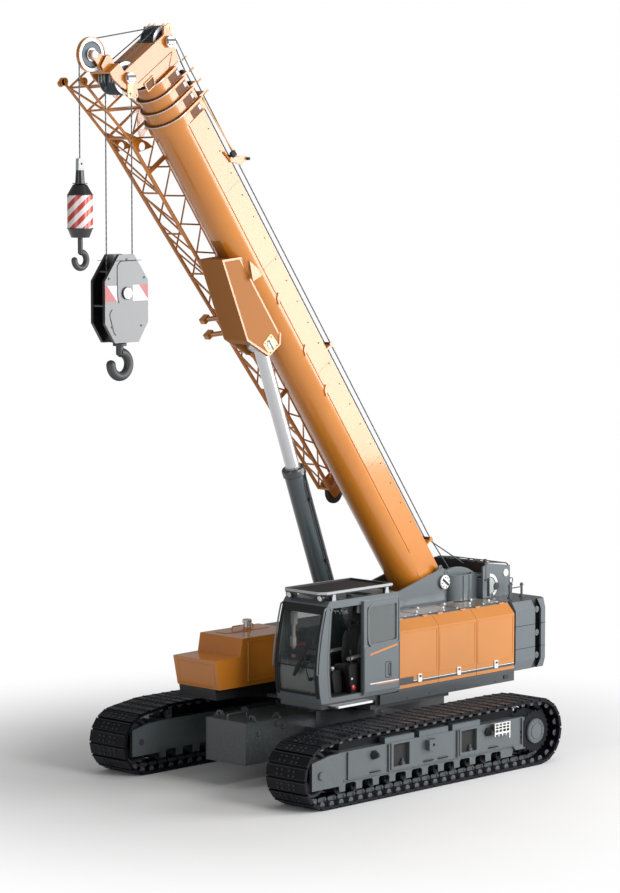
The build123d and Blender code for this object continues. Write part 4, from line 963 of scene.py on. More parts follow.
# %% Tank fittings
cap = lathe([(0.07, 0), (0.07, 0.07), (0.085, 0.075), (0.085, 0.13), (0.07, 0.145), (0.02, 0.15)], 24)
piece("filler_cap", cap.repeat([(0.9, -1.15, 2.5)]), plated_steel)
press = plate(soft(rectangle(0.42, 1.55, -1.33, -1.02), 0.08, 4), 2.459, 2.468, 0.004)
bar = rail(upright(((0.62, 2.46), (0.62, 2.52), (1.15, 2.52), (1.15, 2.46)), -1.28), 0.03, 0.012)
lean_x, lean_z = unit((0.11, 0.525))
front_press = rim(rectangle(-1.42, -0.51, 0.04, 0.46), fold).at(
    [(2.29, 0, 1.605)], (lean_z, 0, -lean_x), leftwards)
side_outline = rectangle(0.36, 1.6, 1.68, 2.40)
side_presses = side_rim(side_outline, -wall, fold, False) + side_rim(side_outline, -0.43, fold)
piece("tank_presses", press + bar + front_press + side_presses, orange)

# %% [markdown]
# ## Cab
# The CAD cab is a shell with panes. Up close the real one is framed: a black rubber-edged frame
# round the front glass, a light rim round the roof guard, rails at both front corners and a
# raised frame round the doorway. The front is curved, so its line is worked out from circles
# through three points and each strip is a small section carried along that line.

# %% The curved front line
def arc_through(a, b, c, steps=9):
    """Circle through three points: its centre is as far from a as from b and from c."""
    a, b, c = np.array((a, b, c), float)
    centre = np.linalg.solve(2 * np.array((b - a, c - a)), (b @ b - a @ a, c @ c - a @ a))
    turn = np.unwrap([math.atan2(*(p - centre)[::-1]) for p in (a, b, c)])
    return centre + around(np.linspace(turn[0], turn[2], steps), np.hypot(*(a - centre)))


front_line = np.vstack((arc_through((1.74, 1.52), (1.805, 1.94), (1.80, 2.22)),
                        arc_through((1.80, 2.22), (1.69, 2.87), (1.59, 3.23))[1:]))


def along_front(z_range, y_range, proud, steps=24):
    """Strip that follows the cab's front: four corners, pushed out along the line's normal."""
    (y_low, y_high), (proud_low, proud_high) = y_range, proud
    z = np.linspace(*z_range, steps)
    x = np.interp(z, front_line[:, 1], front_line[:, 0])
    out = unit(np.stack((np.ones(steps), -np.gradient(x, z)), axis=1))
    corners = ((y_low, proud_low), (y_high, proud_low), (y_high, proud_high), (y_low, proud_high))
    return skin(np.stack([np.stack((x + d * out[:, 0], np.full(steps, y), z + d * out[:, 1]), axis=1)
                          for y, d in corners], axis=1))


def rail_along_front(z_low, z_high, y, proud=0.03, radius=0.015):
    """Round rail that follows the cab's front line and turns in at both ends."""
    z = np.linspace(z_low, z_high, 14)
    x = np.interp(z, front_line[:, 1], front_line[:, 0])
    path = np.vstack(([(x[0] - 0.02, y, z_low - 0.03)], np.stack((x + proud, 0 * z + y, z), axis=1),
                      [(x[-1] - 0.02, y, z_high + 0.03)]))
    return tube(path, radius)


# %% [markdown]
# Most strips stand just proud of the glass, as its rubber does; the bar across the glass and the
# pale kick panel lie behind it. Two rails and a grab handle guard the corners.

# %% Front frame and rails
pane = (0.512, 1.428)
front_frame = joined((
    along_front((1.62, 3.20), (0.448, 0.520), (0.001, 0.014)),
    along_front((1.62, 3.20), (1.405, 1.475), (0.001, 0.014)),
    along_front((3.06, 3.20), pane, (0.001, 0.010), 6), along_front((1.655, 1.69), pane, (0.001, 0.010), 4),
    along_front((2.13, 2.15), pane, (-0.028, -0.010), 3)))
piece("front_frame", front_frame, black_rubber)
piece("kick_panel", along_front((1.67, 2.12), (0.515, 1.425), (-0.075, -0.05), 8), kick_cloth)
rails = rail_along_front(2.10, 3.16, 0.425) + rail_along_front(2.05, 3.16, 1.484)
grab_rail = rail(upright(((1.60, 3.02), (1.525, 2.99), (1.60, 2.68), (1.69, 2.65)), 1.478), 0.03, 0.011)
piece("cab_rails", rails + grab_rail, mid_grey)

# %% [markdown]
# Small things take the fewest shapes that read at this size: the wiper's blade is a tube whose
# radius changes along its path, the roof's rim is a section of six points, and each lamp is a
# turned cup with a lens.

# %% Wiper, roof rim and lamps
wiper_line = np.array([(1.855, 0.95, 1.99), (1.86, 1.02, 2.10), (1.845, 1.16, 2.36), (1.825, 1.25, 2.52)])
blade = tube(wiper_line, (0.03, 0.042, 0.036, 0.018), forwards)
arm = rail([(1.83, 1.30, 1.95), (1.865, 1.28, 2.02), (1.845, 1.17, 2.40)], 0.05, 0.011, forwards)
pivot = lathe([(0.03, -0.02), (0.03, 0.03), (0.014, 0.045)], 14)
piece("wiper", blade + arm + pivot.at([(1.815, 1.30, 1.95)], forwards, leftwards), black_rubber)
roof_outline = ((-0.08, 0.47), (1.58, 0.47), (1.69, 0.58), (1.69, 1.36), (1.58, 1.47), (-0.08, 1.47))
roof_rim = rim(roof_outline, ((-0.010, 3.412), (-0.010, 3.442), (0.0, 3.453), (0.012, 3.453),
                              (0.008, 3.430), (0.0, 3.412)))
feet = joined(side_plate(((x, 3.28), (x + 0.11, 3.28), (x + 0.085, 3.40), (x + 0.025, 3.40)),
                         1.472, 0, 0.008, 0.002) for x in (0.0, 1.35))
mat = plate(inset(counter_clockwise(roof_outline), 0.02), 3.413, 3.421)
piece("roof_guard_mat", mat, black_rubber)
piece("roof_guard_rim", roof_rim + feet, light_grey)
lamp_places, beam = (0.60, 1.34), (1, 0, -0.25)
work_lamp = lathe([(0.06, -0.05), (0.075, -0.02), (0.075, 0.02), (0.068, 0.03), (0.05, 0.026)], 20)
piece("work_lamps", work_lamp.at([(1.60, y, 3.345) for y in lamp_places], beam, leftwards), black_paint)
lens = lathe([(0.052, 0), (0.045, 0.006), (0.01, 0.01)], 16)
piece("lamp_lenses", lens.at([(1.628, y, 3.338) for y in lamp_places], beam, leftwards), white_paint)

# %% [markdown]
# The doorway has a rounded raised frame, a sill and, below it, a step plate with a bright edge.
# Frame and seal are two rims on one outline, so the gap between them stays even all round.

# %% Doorway and step
way_outline = soft(((0.60, 1.575), (1.545, 1.575), (1.60, 2.2), (1.52, 3.16), (1.40, 3.235), (0.60, 3.235)),
                   0.09, 4)
sill = box((0.66, 1.42, 1.578), (1.56, 1.498, 1.590), 0.003)
way_frame = side_rim(way_outline, wall, flat_section(-0.008, 0.030, -0.001, 0.0045))
piece("doorway_frame", way_frame + sill, mid_grey)
piece("doorway_seal", side_rim(way_outline, wall, flat_section(0.031, 0.050, -0.001, 0.003)), black_rubber)
step_top = box((0.565, 1.44, 1.459), (1.495, 1.628, 1.466), 0.002)
step_ribs = boxes((((0.60 + 0.075 * i, 1.50, 1.465), (0.63 + 0.075 * i, 1.615, 1.473))
                   for i in range(12)), 0.002)
piece("step_tread", step_top + step_ribs, light_grey)
piece("step_edge", box((0.60, 1.629, 1.432), (1.46, 1.640, 1.470), 0.003), white_paint)

# %% [markdown]
# The sliding door carries a raised lower panel with the orange slash, a recessed handle and the
# double line that runs on from the engine doors. Slash and lines are bands of the finish, like
# the stripes before, because paint has no thickness that shows.

# %% Sliding door
orange_line, light_line = from_srgb(200, 118, 40), from_srgb(225, 222, 218)
door_grey = striped("cab_door_paint", from_srgb(90, 98, 102), (
    (lambda f: (f.z + f.x * 0.16).between(2.335, 2.368) * (f.x < 0.57) * (f.x > -0.13), orange_line),
    (lambda f: f.z.between(1.735, 1.752) * (f.x < 0.57), light_line),
    (lambda f: f.z.between(1.712, 1.729) * (f.x < 0.40), orange_line)))
panel_outline = soft(((-0.188, 1.585), (0.728, 1.585), (0.728, 2.40), (-0.188, 2.44)), 0.03)
window_outline = soft(((-0.12, 2.46), (0.56, 2.43), (0.60, 2.55), (0.60, 3.06), (0.52, 3.13),
                       (-0.12, 3.13)), 0.06, 4)
lower_panel = side_plate(panel_outline, 1.514, 0, 0.045, 0.006)
window_rim = side_rim(window_outline, 1.548, flat_section(-0.03, 0.008, -0.001, 0.008))
piece("door_panel", lower_panel + window_rim, door_grey, "sliding_door")
door_edge = side_rim(rectangle(-0.19, 0.73, 1.58, 3.215), 1.546, flat_section(-0.004, 0.02, -0.001, 0.013))
piece("door_edge", door_edge, mid_grey, "sliding_door")
hollow = side_rim(soft(rectangle(0.02, 0.19, 1.80, 2.10), 0.035, 4), 1.559,
                  ((0, -0.002), (0.004, 0.004), (0.02, 0.004), (0.024, -0.002)))
grip = rail([(0.075, y, z) for y, z in ((1.557, 2.06), (1.585, 2.05), (1.585, 1.86), (1.557, 1.85))],
            0.02, 0.010, forwards)
piece("door_handle", hollow + grip, dark_grey, "sliding_door")

# %% [markdown]
# ## Inside the cab
# What shows through the glass is a dark lining, consoles with levers, a steering column with
# screens and the driver's seat. Most of it is black on black, so outlines with soft corners are
# enough; they take the place of the plain CAD interior.

# %% Lining, consoles and column
cab_floor, seat_y = 1.59, 0.97
linings = boxes((((-0.13, 0.505, 1.5815), (1.70, 1.435, cab_floor)),
                 ((-0.135, 0.502, 1.585), (1.60, 0.512, 2.07)),
                 ((-0.138, 0.505, 1.585), (-0.128, 1.435, 2.29)),
                 ((-0.13, 1.428, 1.585), (0.66, 1.438, 2.19))), 0.003)
ceiling = boxes((((x, 0.505, 3.205), (end, 1.435, 3.225))
                 for x, end in ((-0.13, 0.28), (1.31, 1.50))), 0.004)
posts = boxes((((x, 0.500, 2.06), (x + 0.07, 0.508, 3.2)) for x in (-0.13, 1.46)), 0.002)
piece("cab_lining", linings + ceiling + posts, dark_lining)


def console(x0, x1, y0, y1, top, lean=0.06):
    """Box on the floor whose side outline leans back at its front and is rounded at its top."""
    outline = soft(((x0, cab_floor), (x1 - lean, cab_floor), (x1, top - 0.08), (x1 - 0.03, top),
                    (x0, top)), 0.03)
    return side_plate(outline, y0, 0, y1 - y0, 0.012)


consoles = joined((console(0.40, 0.92, 1.255, 1.375, 2.10), console(0.40, 0.98, 0.55, 0.70, 2.18),
                   console(0.86, 1.12, 0.80, 1.16, 1.98), console(0.42, 0.78, 0.84, 1.12, 1.90, 0)))
column_outline = (1.36, cab_floor), (1.46, cab_floor), (1.40, 2.20), (1.30, 2.26), (1.28, 2.18)
column = side_plate(column_outline, 0.89, 0, 0.16, 0.015)
dash_outline = soft(((1.18, 2.24), (1.62, 2.30), (1.64, 2.36), (1.22, 2.44), (1.14, 2.34)), 0.02)
dash = side_plate(dash_outline, 0.52, 0, 0.42, 0.02)
screens = boxes((((1.26, 0.53, 2.46), (1.30, 0.72, 2.66)), ((1.34, 0.75, 2.44), (1.375, 0.93, 2.56))), 0.01)
wheel_path = np.column_stack((around(ring_turn, 0.17), 0 * ring_turn))
wheel = tube(wheel_path, 0.014, (0, 0, 1)).at([(1.26, seat_y, 2.32)], (-0.45, 0, 0.9))
lever = lathe([(0.028, 0), (0.016, 0.03), (0.010, 0.05), (0.010, 0.16), (0.026, 0.18), (0.03, 0.23),
               (0.022, 0.27), (0.008, 0.28)], 14)
levers = lever.at([(0.80, 1.315, 2.09), (0.84, 0.625, 2.17)], (0.15, 0, 1))
inside = piece("cab_fittings", consoles + column + dash + screens + wheel + levers, black_rubber)
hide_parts("cab_interior")

# %% [markdown]
# Pale and red details are what the eye finds first through tinted glass, so they are pieces of
# their own: arm rests, knobs, buttons and the bracket behind the windscreen.

# %% Arm rests, knobs and buttons
arm_path = eased([(0.34, 0, 0), (0.62, 0, 0.0), (0.78, 0, -0.03)], 0.1)
arm_section = np.array([(0, y, z) for y, z in (
    (-0.035, -0.02), (0.035, -0.02), (0.045, 0.0), (0.035, 0.024), (-0.035, 0.024), (-0.045, 0.0))])
arm_pad = skin(arm_path[:, None] + arm_section)
piece("arm_rests", arm_pad.repeat([(0.02, 1.245, 2.20), (0.02, 0.69, 2.25)]), light_plastic)
knobs = lathe([(0.012, 0), (0.012, 0.02), (0.032, 0.035), (0.036, 0.055), (0.022, 0.072), (0.006, 0.076)],
              16).repeat([(1.02, 0.90, 1.975), (1.02, 1.07, 1.975), (0.84, 1.35, 1.80)])
piece("white_knobs", knobs, white_paint)
button = lathe([(0.03, 0), (0.045, 0.01), (0.05, 0.035), (0.03, 0.052), (0.008, 0.056)], 18)
buttons = button.repeat([(1.40, 0.60, 2.40), (1.33, 0.66, 2.41)])
piece("red_buttons", buttons + button.at([(0.84, 1.376, 1.70)]), red_paint)
bracket = box((1.50, 0.60, 2.22), (1.55, 0.64, 3.10), 0.008) + boxes(
    (((1.47, 0.585, 2.80), (1.56, 0.66, 3.02)), ((1.50, 0.585, 2.42), (1.58, 0.66, 2.60))), 0.01)
piece("front_bracket", bracket, light_plastic)

# %% [markdown]
# The seat's pads start as rounded blocks and are inflated: cloth with a little pressure and no
# gravity swells for 20 frames, held to a few millimetres. They are remeshed first, because cloth
# wants faces of one size, and smoothed last. Sculpting them would take longer and look no softer.

# %% Seat cushions, inflated as cloth
voxel, pressure, cloth_frames = 0.018, 4, 20


def rounded_block(size, power=3.2, steps=13):
    """Superellipsoid: each direction on a grid of angles, pushed out to |x|^p + |y|^p + |z|^p = 1."""
    lift, turn = np.meshgrid(np.linspace(-math.pi / 2, math.pi / 2, steps),
                             np.arange(24) * math.tau / 24, indexing="ij")
    way = np.stack((np.cos(lift) * np.cos(turn), np.cos(lift) * np.sin(turn), np.sin(lift)), axis=-1)[1:-1]
    reach = (np.abs(way) ** power).sum(-1, keepdims=True) ** (-1 / power)
    return skin(way * reach * np.array(size) / 2)


def settle(pad):
    """Puts what the modifiers make into the mesh, takes them off and returns the points."""
    shown = pad.evaluated_get(bpy.context.evaluated_depsgraph_get())
    mesh = bpy.data.meshes.new_from_object(shown)
    pad.modifiers.clear()
    old, pad.data = pad.data, mesh
    bpy.data.meshes.remove(old)
    points = np.empty(len(mesh.vertices) * 3)
    mesh.vertices.foreach_get("co", points)
    return points.reshape(-1, 3)


def cushion(name, shape, cap, material):
    """Pad: remeshed to even faces, swollen by cloth pressure, held within the cap, then smoothed."""
    pad = piece(name, shape, material, crease=180)
    remesh = pad.modifiers.new("even_faces", "REMESH")
    remesh.mode, remesh.voxel_size = "VOXEL", voxel
    start = settle(pad)
    settings = pad.modifiers.new("swell", "CLOTH").settings
    settings.use_pressure = True
    settings.uniform_pressure_force = pressure
    settings.effector_weights.gravity = 0
    for number in range(1, cloth_frames + 1):
        bpy.context.scene.frame_set(number)
    moved = settle(pad) - start
    length = np.linalg.norm(moved, axis=1, keepdims=True)
    held = start + moved * np.minimum(1, cap / np.maximum(length, 1e-9))
    pad.data.vertices.foreach_set("co", held.ravel())
    bpy.context.scene.frame_set(1)
    smooth = pad.modifiers.new("smooth", "SUBSURF")
    smooth.levels = smooth.render_levels = 1
    pad.data.shade_smooth()
    print(name, len(pad.data.vertices), "points")


back_axes = (-0.12, 0, 1), (1, 0, 0.12)
base_pad = rounded_block((0.43, 0.44, 0.13)).repeat([(0.575, seat_y, 1.965)])
back_pad = rounded_block((0.12, 0.42, 0.72)).at([(0.345, seat_y, 2.36)], *back_axes)
head_pad = rounded_block((0.09, 0.26, 0.17), 2.8).at([(0.285, seat_y, 2.83)], *back_axes)
for name, shape, cap in (("cushion", base_pad, 0.012), ("back", back_pad, 0.012),
                         ("headrest", head_pad, 0.008)):
    cushion(f"seat_{name}", shape, cap, cloth)
for side, y in (("left", 1.16), ("right", 0.78)):
    wing = rounded_block((0.15, 0.07, 0.60), 2.6).at([(0.385, y, 2.30)], *back_axes)
    cushion(f"seat_wing_{side}", wing, 0.006, wing_cloth)

# %% [markdown]
# ## Boom
# The sections slide in each other, so whatever sits on a section has to ride it. A section's
# outline is flat on top and at the sides and round below; the same line, pushed outwards along
# its normals, places the bright rims, the dark studs and the weld seams.

# %% The line round a section
bend = -0.29
collars = [(body, 10.70 + 0.23 * i, 0.415 - 0.038 * i) for i, body in enumerate(
    ("base_section", "second_section", "third_section", "fourth_section"))]


def section_line(half, high, steps=19):
    """Down the left side, round the belly and up the right side: (y, w) points and normals."""
    way = around(np.linspace(0, -math.pi, steps))
    return (np.vstack(([(half, high)], (0, bend) + half * way, [(-half, high)])),
            np.vstack((way[:1], way, way[-1:])))


def belt(half, high, s_low, s_high, proud):
    """A flat band from s_low to s_high that hugs the section and stands proud of it."""
    line, out = section_line(half, high)
    corners = ((s_low, -0.004), (s_low, proud), (s_high, proud), (s_high, -0.004))
    return on_boom(skin([[(s, *(p + d * n)) for s, d in corners] for p, n in zip(line, out)]))


def boom_point(s, y, w):
    """The place of one point of the boom."""
    return on_boom(Shape([(s, y, w)], [])).points[0]


def round_studs(stud, half, s, count):
    """Studs that face along the boom, set round the belly of a collar's front face."""
    turn = np.linspace(-0.15, -math.pi + 0.15, count)
    places = [(s, half * math.cos(a), bend + half * math.sin(a)) for a in turn]
    return on_boom(stud.at(places, forwards, leftwards))


# %% [markdown]
# The boom is glossy, but the folded bracket below it looks dull and dark in the photograph. Both
# belong to one solid, so the finish decides by place: it works out each point's distance along
# and across the boom and turns dull inside the bracket's range.

# %% Boom paint
# Silver band on each collar's edge: a painted highlight, the light on its chamfer.
chamfer_highlight_steel = worn_steel("collar_edge_highlight", from_srgb(186, 184, 190), 0.25, 0.5, 0.15)
# Dark orange: painted shade on the thin plates between the collars' welts and on the patch inside the
# head's frame. The head's seam lines take it too.
shade_and_seam_orange = paint("painted_shade_and_seam_orange", from_srgb(104, 56, 12), 0.55, 0.0)


# The bracket's darker orange is painted shade; its dullness is roughness and the missing coat.
def boom_paint():
    """Boom orange without its gloss on the bracket: below the belly line, where |y| > 262 mm or
    where the boom no longer reaches."""
    f = Finish("boom_paint", coat_roughness=0.08)
    over, ahead = f.z - foot_pin[1], f.x - foot_pin[0]
    across = over * math.cos(boom_angle) - ahead * math.sin(boom_angle)
    along = over * math.sin(boom_angle) + ahead * math.cos(boom_angle)
    belly = (f.y.size() < 0.262) * (across > -0.64)
    bracket = across.between(-1.4, -0.575) * along.between(5.9, 8.3) * (1 - belly)
    gloss = f.mix(f.noise(0.9, 3), from_srgb(184, 110, 28), from_srgb(202, 126, 38))
    fine = f.noise(26, 5, 0.6)
    # Darker orange on the bracket: painted shade.
    return f.use(colour=f.mix(bracket, gloss, from_srgb(156, 92, 12)),
                 roughness=0.26 + fine * 0.1 + bracket * 0.3, coat=0.7 - bracket * 0.7,
                 normal=f.bump(f.noise(420, 2, 0.5), 0.0006, 0.25)).material


finish_node("boom_base", boom_paint())

# %% [markdown]
# Each section ends in a collar with a silver band on its edge, studs round its belly, a dark plate
# between two welts, a blank plate, two rods and wear pads. The silver band is a painted highlight
# on the collar's chamfer, the dark plate is painted shade between the welts, and the rods' lighter
# orange is a painted highlight. The four collars differ only in place and width, so one loop makes
# them all, each on its own body.

# %% Collars
for number, (body, front, half) in enumerate(collars):
    # Silver edge band: painted highlight.
    edge = belt(half + 0.012, bend + 0.03, front - 0.014, front + 0.003, 0.006)
    studs = round_studs(small_bolt, half - 0.012, front - 0.001, 21)
    # Thin dark plate between the welts: painted shade in the collar's recess.
    recess = rectangle(front - 0.205, front - 0.045, bend + 0.12, 0.10)
    recess_shades = joined(boom_plate(recess, y, 0, 0.004, 0.001, y > 0) for y in (half - 0.001, 0.001 - half))
    welts = joined(boom_plate(rectangle(front - a, front - b, bend + 0.02, 0.142), half, 0, 0.012, 0.003)
                   for a, b in ((0.213, 0.203), (0.047, 0.037)))
    label = boom_plate(rectangle(front - 0.16, front - 0.07, 0.03, 0.09), half, 0.002, 0.007, 0.001)
    # The rods take the lighter orange: painted highlight.
    rod = lathe([(0.016, 0), (0.016, 0.10), (0.012, 0.113), (0.004, 0.118)], 12)
    rods = on_boom(rod.repeat([(front - 0.06, y, 0.352) for y in (-half + 0.09, half - 0.09)]))
    pads = on_boom(boxes((((front + 0.001, y - 0.035, 0.205), (front + 0.045, y + 0.035, 0.262))
                          for y in (-half + 0.13, half - 0.13)), 0.008))
    for name, shape, material in (("edge", edge, chamfer_highlight_steel), ("studs", studs, black_paint),
                                  ("recess", recess_shades, shade_and_seam_orange), ("welts", welts, orange),
                                  ("label", label, light_grey), ("rods", rods, highlight_orange),
                                  ("pads", pads, black_rubber)):
        piece(f"collar_{name}_{number}", shape, material, body)

# %% [markdown]
# Along the base section run the weld seams where the belly begins, a row of side bolts and the
# rollers of the hoist ropes. Real seams are beads of metal: a thin tube half sunk in the plate
# looks the same.

# %% Seams, bolts and rollers
base, side_face, roller_places = "base_section", 0.3695, (0.74, 5.29, 9.36)
seam = joined(on_boom(tube([(0.95, y, bend), (10.48, y, bend)], 0.009)) for y in (0.371, -0.371))
stitch = joined(boom_plate(rectangle(s, s + 0.012, bend + 0.01, 0.14), 0.369, 0, 0.004, 0.001)
                for s in (2.9, 5.1, 7.4, 9.0))
piece("boom_seams", seam + stitch + stitch.mirrored(), orange, base)
side_bolts = on_boom_side(small_bolt.repeat([(s, 0.05, 0) for s in np.arange(1.4, 10.3, 0.46)]), side_face)
piece("boom_side_bolts", side_bolts + side_bolts.mirrored(), link_grey, base)
roller = lathe([(0.022, 0), (0.035, 0.006), (0.035, 0.274), (0.022, 0.28)], 16)
rollers = on_boom(roller.at([(s, 0.05, 0.325) for s in roller_places]))
piece("rope_rollers", rollers, link_steel, base)
cheek = soft(((-0.05, 0.28), (0.05, 0.28), (0.045, 0.36), (-0.045, 0.36)), 0.03)
cheeks = joined(boom_plate(cheek + (s, 0), y, 0, 0.012, 0.003)
                for s in roller_places for y in (0.036, 0.331))
piece("roller_cheeks", cheeks, orange, base)

# %% [markdown]
# The two ropes pass every section on one line, each in a slightly thinner run that rides its own
# section: pushed in, the runs hide in each other, and as the boom goes out they still join up.
# Between the drums and the boom's foot two lead ropes are drawn where they stand, on no body.

# %% Hoist ropes along the boom
rope_height, rope_sides = 0.371, 10
runs = ((base, 0.74, 10.70, 0.0115), ("second_section", 2.0, 10.93, 0.0107),
        ("third_section", 2.1, 11.16, 0.0100), ("fourth_section", 2.25, 11.30, 0.0093))
for body, low, high, radius in runs:
    run = joined(tube([(low, y, rope_height), (high, y, rope_height)], radius, leftwards, rope_sides)
                 for y in (0.12, 0.26))
    piece(f"boom_rope_{body}", on_boom(run), boom_rope_finish, body)
last = joined(rail([(2.4, y, rope_height), (11.2, y, rope_height), (11.775, end, 0.490)], 0.2, 0.0086,
                   leftwards, rope_sides) for y, end in ((0.12, 0.068), (0.26, 0.136)))
piece("boom_rope_head", on_boom(last), boom_rope_finish, "head_section")

guide, wound = boom_point(0.74, 0, rope_height), 0.205
for name, (x, z), y in (("front", front_drum, 0.26), ("rear", rear_drum, 0.12)):
    reach = math.hypot(guide[0] - x, guide[2] - z)
    turn = math.atan2(guide[2] - z, guide[0] - x) + math.acos(wound / reach)
    start = np.array((x + wound * math.cos(turn), y, z + wound * math.sin(turn)))
    end = np.array((guide[0], y, guide[2]))
    lead = tube(np.linspace(start, end, 14), 0.0115, leftwards, rope_sides)
    piece(f"lead_rope_{name}", lead, rope_finish, ("superstructure", base, tuple(start), tuple(end)))

# %% [markdown]
# A bent arm on the boom's left side carries a small sensor, and a thin rod runs on from it to the
# collar. The arm is cut from plate, so it is one outline with soft corners.

# %% Sensor
arm_outline = soft(((9.40, 0.12), (9.47, 0.16), (9.36, 0.34), (9.24, 0.50), (9.18, 0.47), (9.22, 0.36),
                    (9.19, 0.30), (9.32, 0.20)), 0.02)
stay = on_boom(tube([(9.42, 0.39, 0.14), (9.62, 0.39, 0.10)], 0.016))
piece("sensor_arm", boom_plate(arm_outline, 0.372, 0, 0.035, 0.004) + stay, orange, base)
eye_piece = lathe([(0.018, 0), (0.026, 0.006), (0.026, 0.05), (0.012, 0.056)], 16)
sensor = box((9.42, 0.372, 0.20), (9.52, 0.428, 0.31), 0.01) + eye_piece.at([(9.21, 0.405, 0.475)])
piece("sensor", on_boom(sensor), black_rubber, base)
# The rod's lighter orange is a painted highlight.
rod_path = (9.50, 0.405, 0.29), (9.56, 0.405, 0.27), (10.50, 0.405, 0.21), (10.68, 0.43, 0.20)
piece("sensor_rod", on_boom(rail(rod_path, 0.08, 0.012)), highlight_orange, base)

# %% [markdown]
# ## Luffing cylinder
# The barrel ends in a gland with a bright wiper ring, and a hose with three clamps runs up each
# side. All of it is drawn upright, foot at the origin, and then turned into the cylinder's axis.

# %% Cylinder
foot, eye_s, eye_w = np.array((-0.47, 0, 1.80)), 6.2, -0.83
axis = unit(boom_point(eye_s, 0, eye_w) - foot)
gland = lathe([(0.192, 3.76), (0.212, 3.775), (0.212, 3.885), (0.200, 3.905), (0.135, 3.912), (0.135, 3.90),
               (0.126, 3.90)], 48) + bolt_circle(hexagon_bolt, 12, 0.172, 3.905)
piece("cylinder_gland", gland.at([foot], axis, leftwards), dark_grey, "cylinder_barrel")
wiper_ring = lathe([(0.128, 3.90), (0.142, 3.905), (0.142, 3.925), (0.130, 3.932)], 48)
piece("wiper_ring", wiper_ring.at([foot], axis, leftwards), plated_steel, "cylinder_barrel")
hose = rail([(0.15, 0.16, 0.35), (0.0, 0.222, 0.55), (0.0, 0.222, 3.55), (0.06, 0.205, 3.82)], 0.12, 0.018,
            forwards, rope_sides)
clamps = boxes((((-0.03, 0.185, z - 0.03), (0.03, 0.243, z + 0.03)) for z in (0.9, 2.1, 3.3)), 0.006)
hose = (hose + clamps).at([foot], axis, (-axis[2], 0, axis[0]))
piece("cylinder_hose", hose.both_sides(), black_rubber, "cylinder_barrel")

# %% [markdown]
# The eye at the rod's end turns on a pin in the bracket below the boom. A bright boss, a plate
# and a keeper mark the pin, raised rims follow the bracket's outline, and two arms reach over to
# the stowed jib.

# %% Cylinder bracket
boss = lathe([(0.085, 0), (0.085, 0.016), (0.07, 0.026), (0.02, 0.028)], 32)
bosses = on_boom(boss.at([(eye_s, 0.274, eye_w)]))
piece("eye_bosses", bosses.both_sides(), bright_cap, base)
# The plates' lighter orange is a painted highlight.
holder = plate(soft(((-0.15, -0.13), (0.13, -0.15), (0.15, 0.12), (-0.11, 0.15)), 0.03), 0, 0.012, 0.003)
pads = on_boom_side(holder.repeat([(eye_s, eye_w, 0)]), 0.269)
piece("eye_plates", pads.both_sides(), highlight_orange, base)
keepers = on_boom(small_bolt.at([(eye_s + a, 0.279, eye_w + b) for a, b in (
    (0.1, 0.08), (0.1, -0.1), (-0.1, 0.1), (-0.11, -0.09))]))
keepers += boom_plate(rectangle(eye_s - 0.1, eye_s + 0.1, eye_w - 0.03, eye_w), 0.272, 0.028, 0.036, 0.002)
piece("eye_keepers", keepers.both_sides(), black_paint, base)
fin = boom_plate(((7.74, -0.462), (7.40, -0.60), (7.33, -0.306)), 0.345, 0, 0.016, 0.003)
hook_outline = soft(((0, -0.25), (0.05, -0.24), (-0.02, -0.33), (-0.14, -0.36), (-0.12, -0.32)), 0.015)
hooks = joined(boom_plate(hook_outline + (s, 0), 0.362, 0, 0.03, 0.004) for s in (6.84, 5.70, 4.80))
piece("belly_hooks", (fin + hooks).both_sides(), orange, base)
arms = joined(tube([(a, -0.38, b), (c, -1.12, d)], 0.045, forwards, 10)
              for a, b, c, d in ((6.50, -0.40, 6.62, -0.76), (6.22, -0.46, 6.34, -0.84)))
arm_ends = boxes((((s - 0.05, -1.20, w - 0.09), (s + 0.05, -1.08, w + 0.09))
                  for s, w in ((6.63, -0.77), (6.35, -0.85))), 0.012)
piece("jib_arms", on_boom(arms + arm_ends), orange, base)
bracket_outline = (6.05, -0.98), (6.61, -1.25), (8.10, -0.92), (7.85, -0.50), (6.35, -0.40), (6.05, -0.64)
flange = on_boom_side(rim(bracket_outline, flat_section(0, 0.035, -0.002, 0.014)), 0.27)
piece("bracket_rims", flange.both_sides(), orange, base)

# %% [markdown]
# ## Stowed jib
# Gusset plates with round holes stiffen the jib where its chords spread. A plate with a hole is
# worked out by rays from the hole's centre: each ray meets the outline once, at the nearest of
# its edges, so outline and hole get the same number of points and quads join them.

# %% Gussets
def holed(outline, centre, radius, low, high, sides=28):
    """Plate with a hole: along each ray the outline lies at min over edges n.(p - c) / n.d."""
    outline, centre = counter_clockwise(outline), np.asarray(centre, float)
    corner = np.arctan2(*(outline - centre).T[::-1])
    turn = np.sort(np.append(np.linspace(-math.pi, math.pi, sides, endpoint=False), corner))
    way = around(turn)
    edge = np.roll(outline, -1, axis=0) - outline
    normal = np.stack((edge[:, 1], -edge[:, 0]), axis=1)
    rate = way @ normal.T
    reach = ((outline - centre) * normal).sum(1) / np.where(rate > 1e-9, rate, np.nan)
    outer, inner = centre + way * np.nanmin(reach, axis=1)[:, None], centre + way * radius
    return skin([np.column_stack((ring, np.full(len(turn), height)))
                 for ring, height in ((outer, low), (outer, high), (inner, high), (inner, low))], True)


jib_start, jib_length = 10.6, 8.1
chord_ends = {"near": (-0.52, -0.64), "far": (-1.04, -0.92), "high": (0.06, -0.06), "low": (-0.86, -0.45)}


def chord(s, line):
    """A chord's y (near, far) or w (high, low) at s, going straight between two end frames."""
    return np.interp((jib_start - s) / jib_length, (0, 1), chord_ends[line])


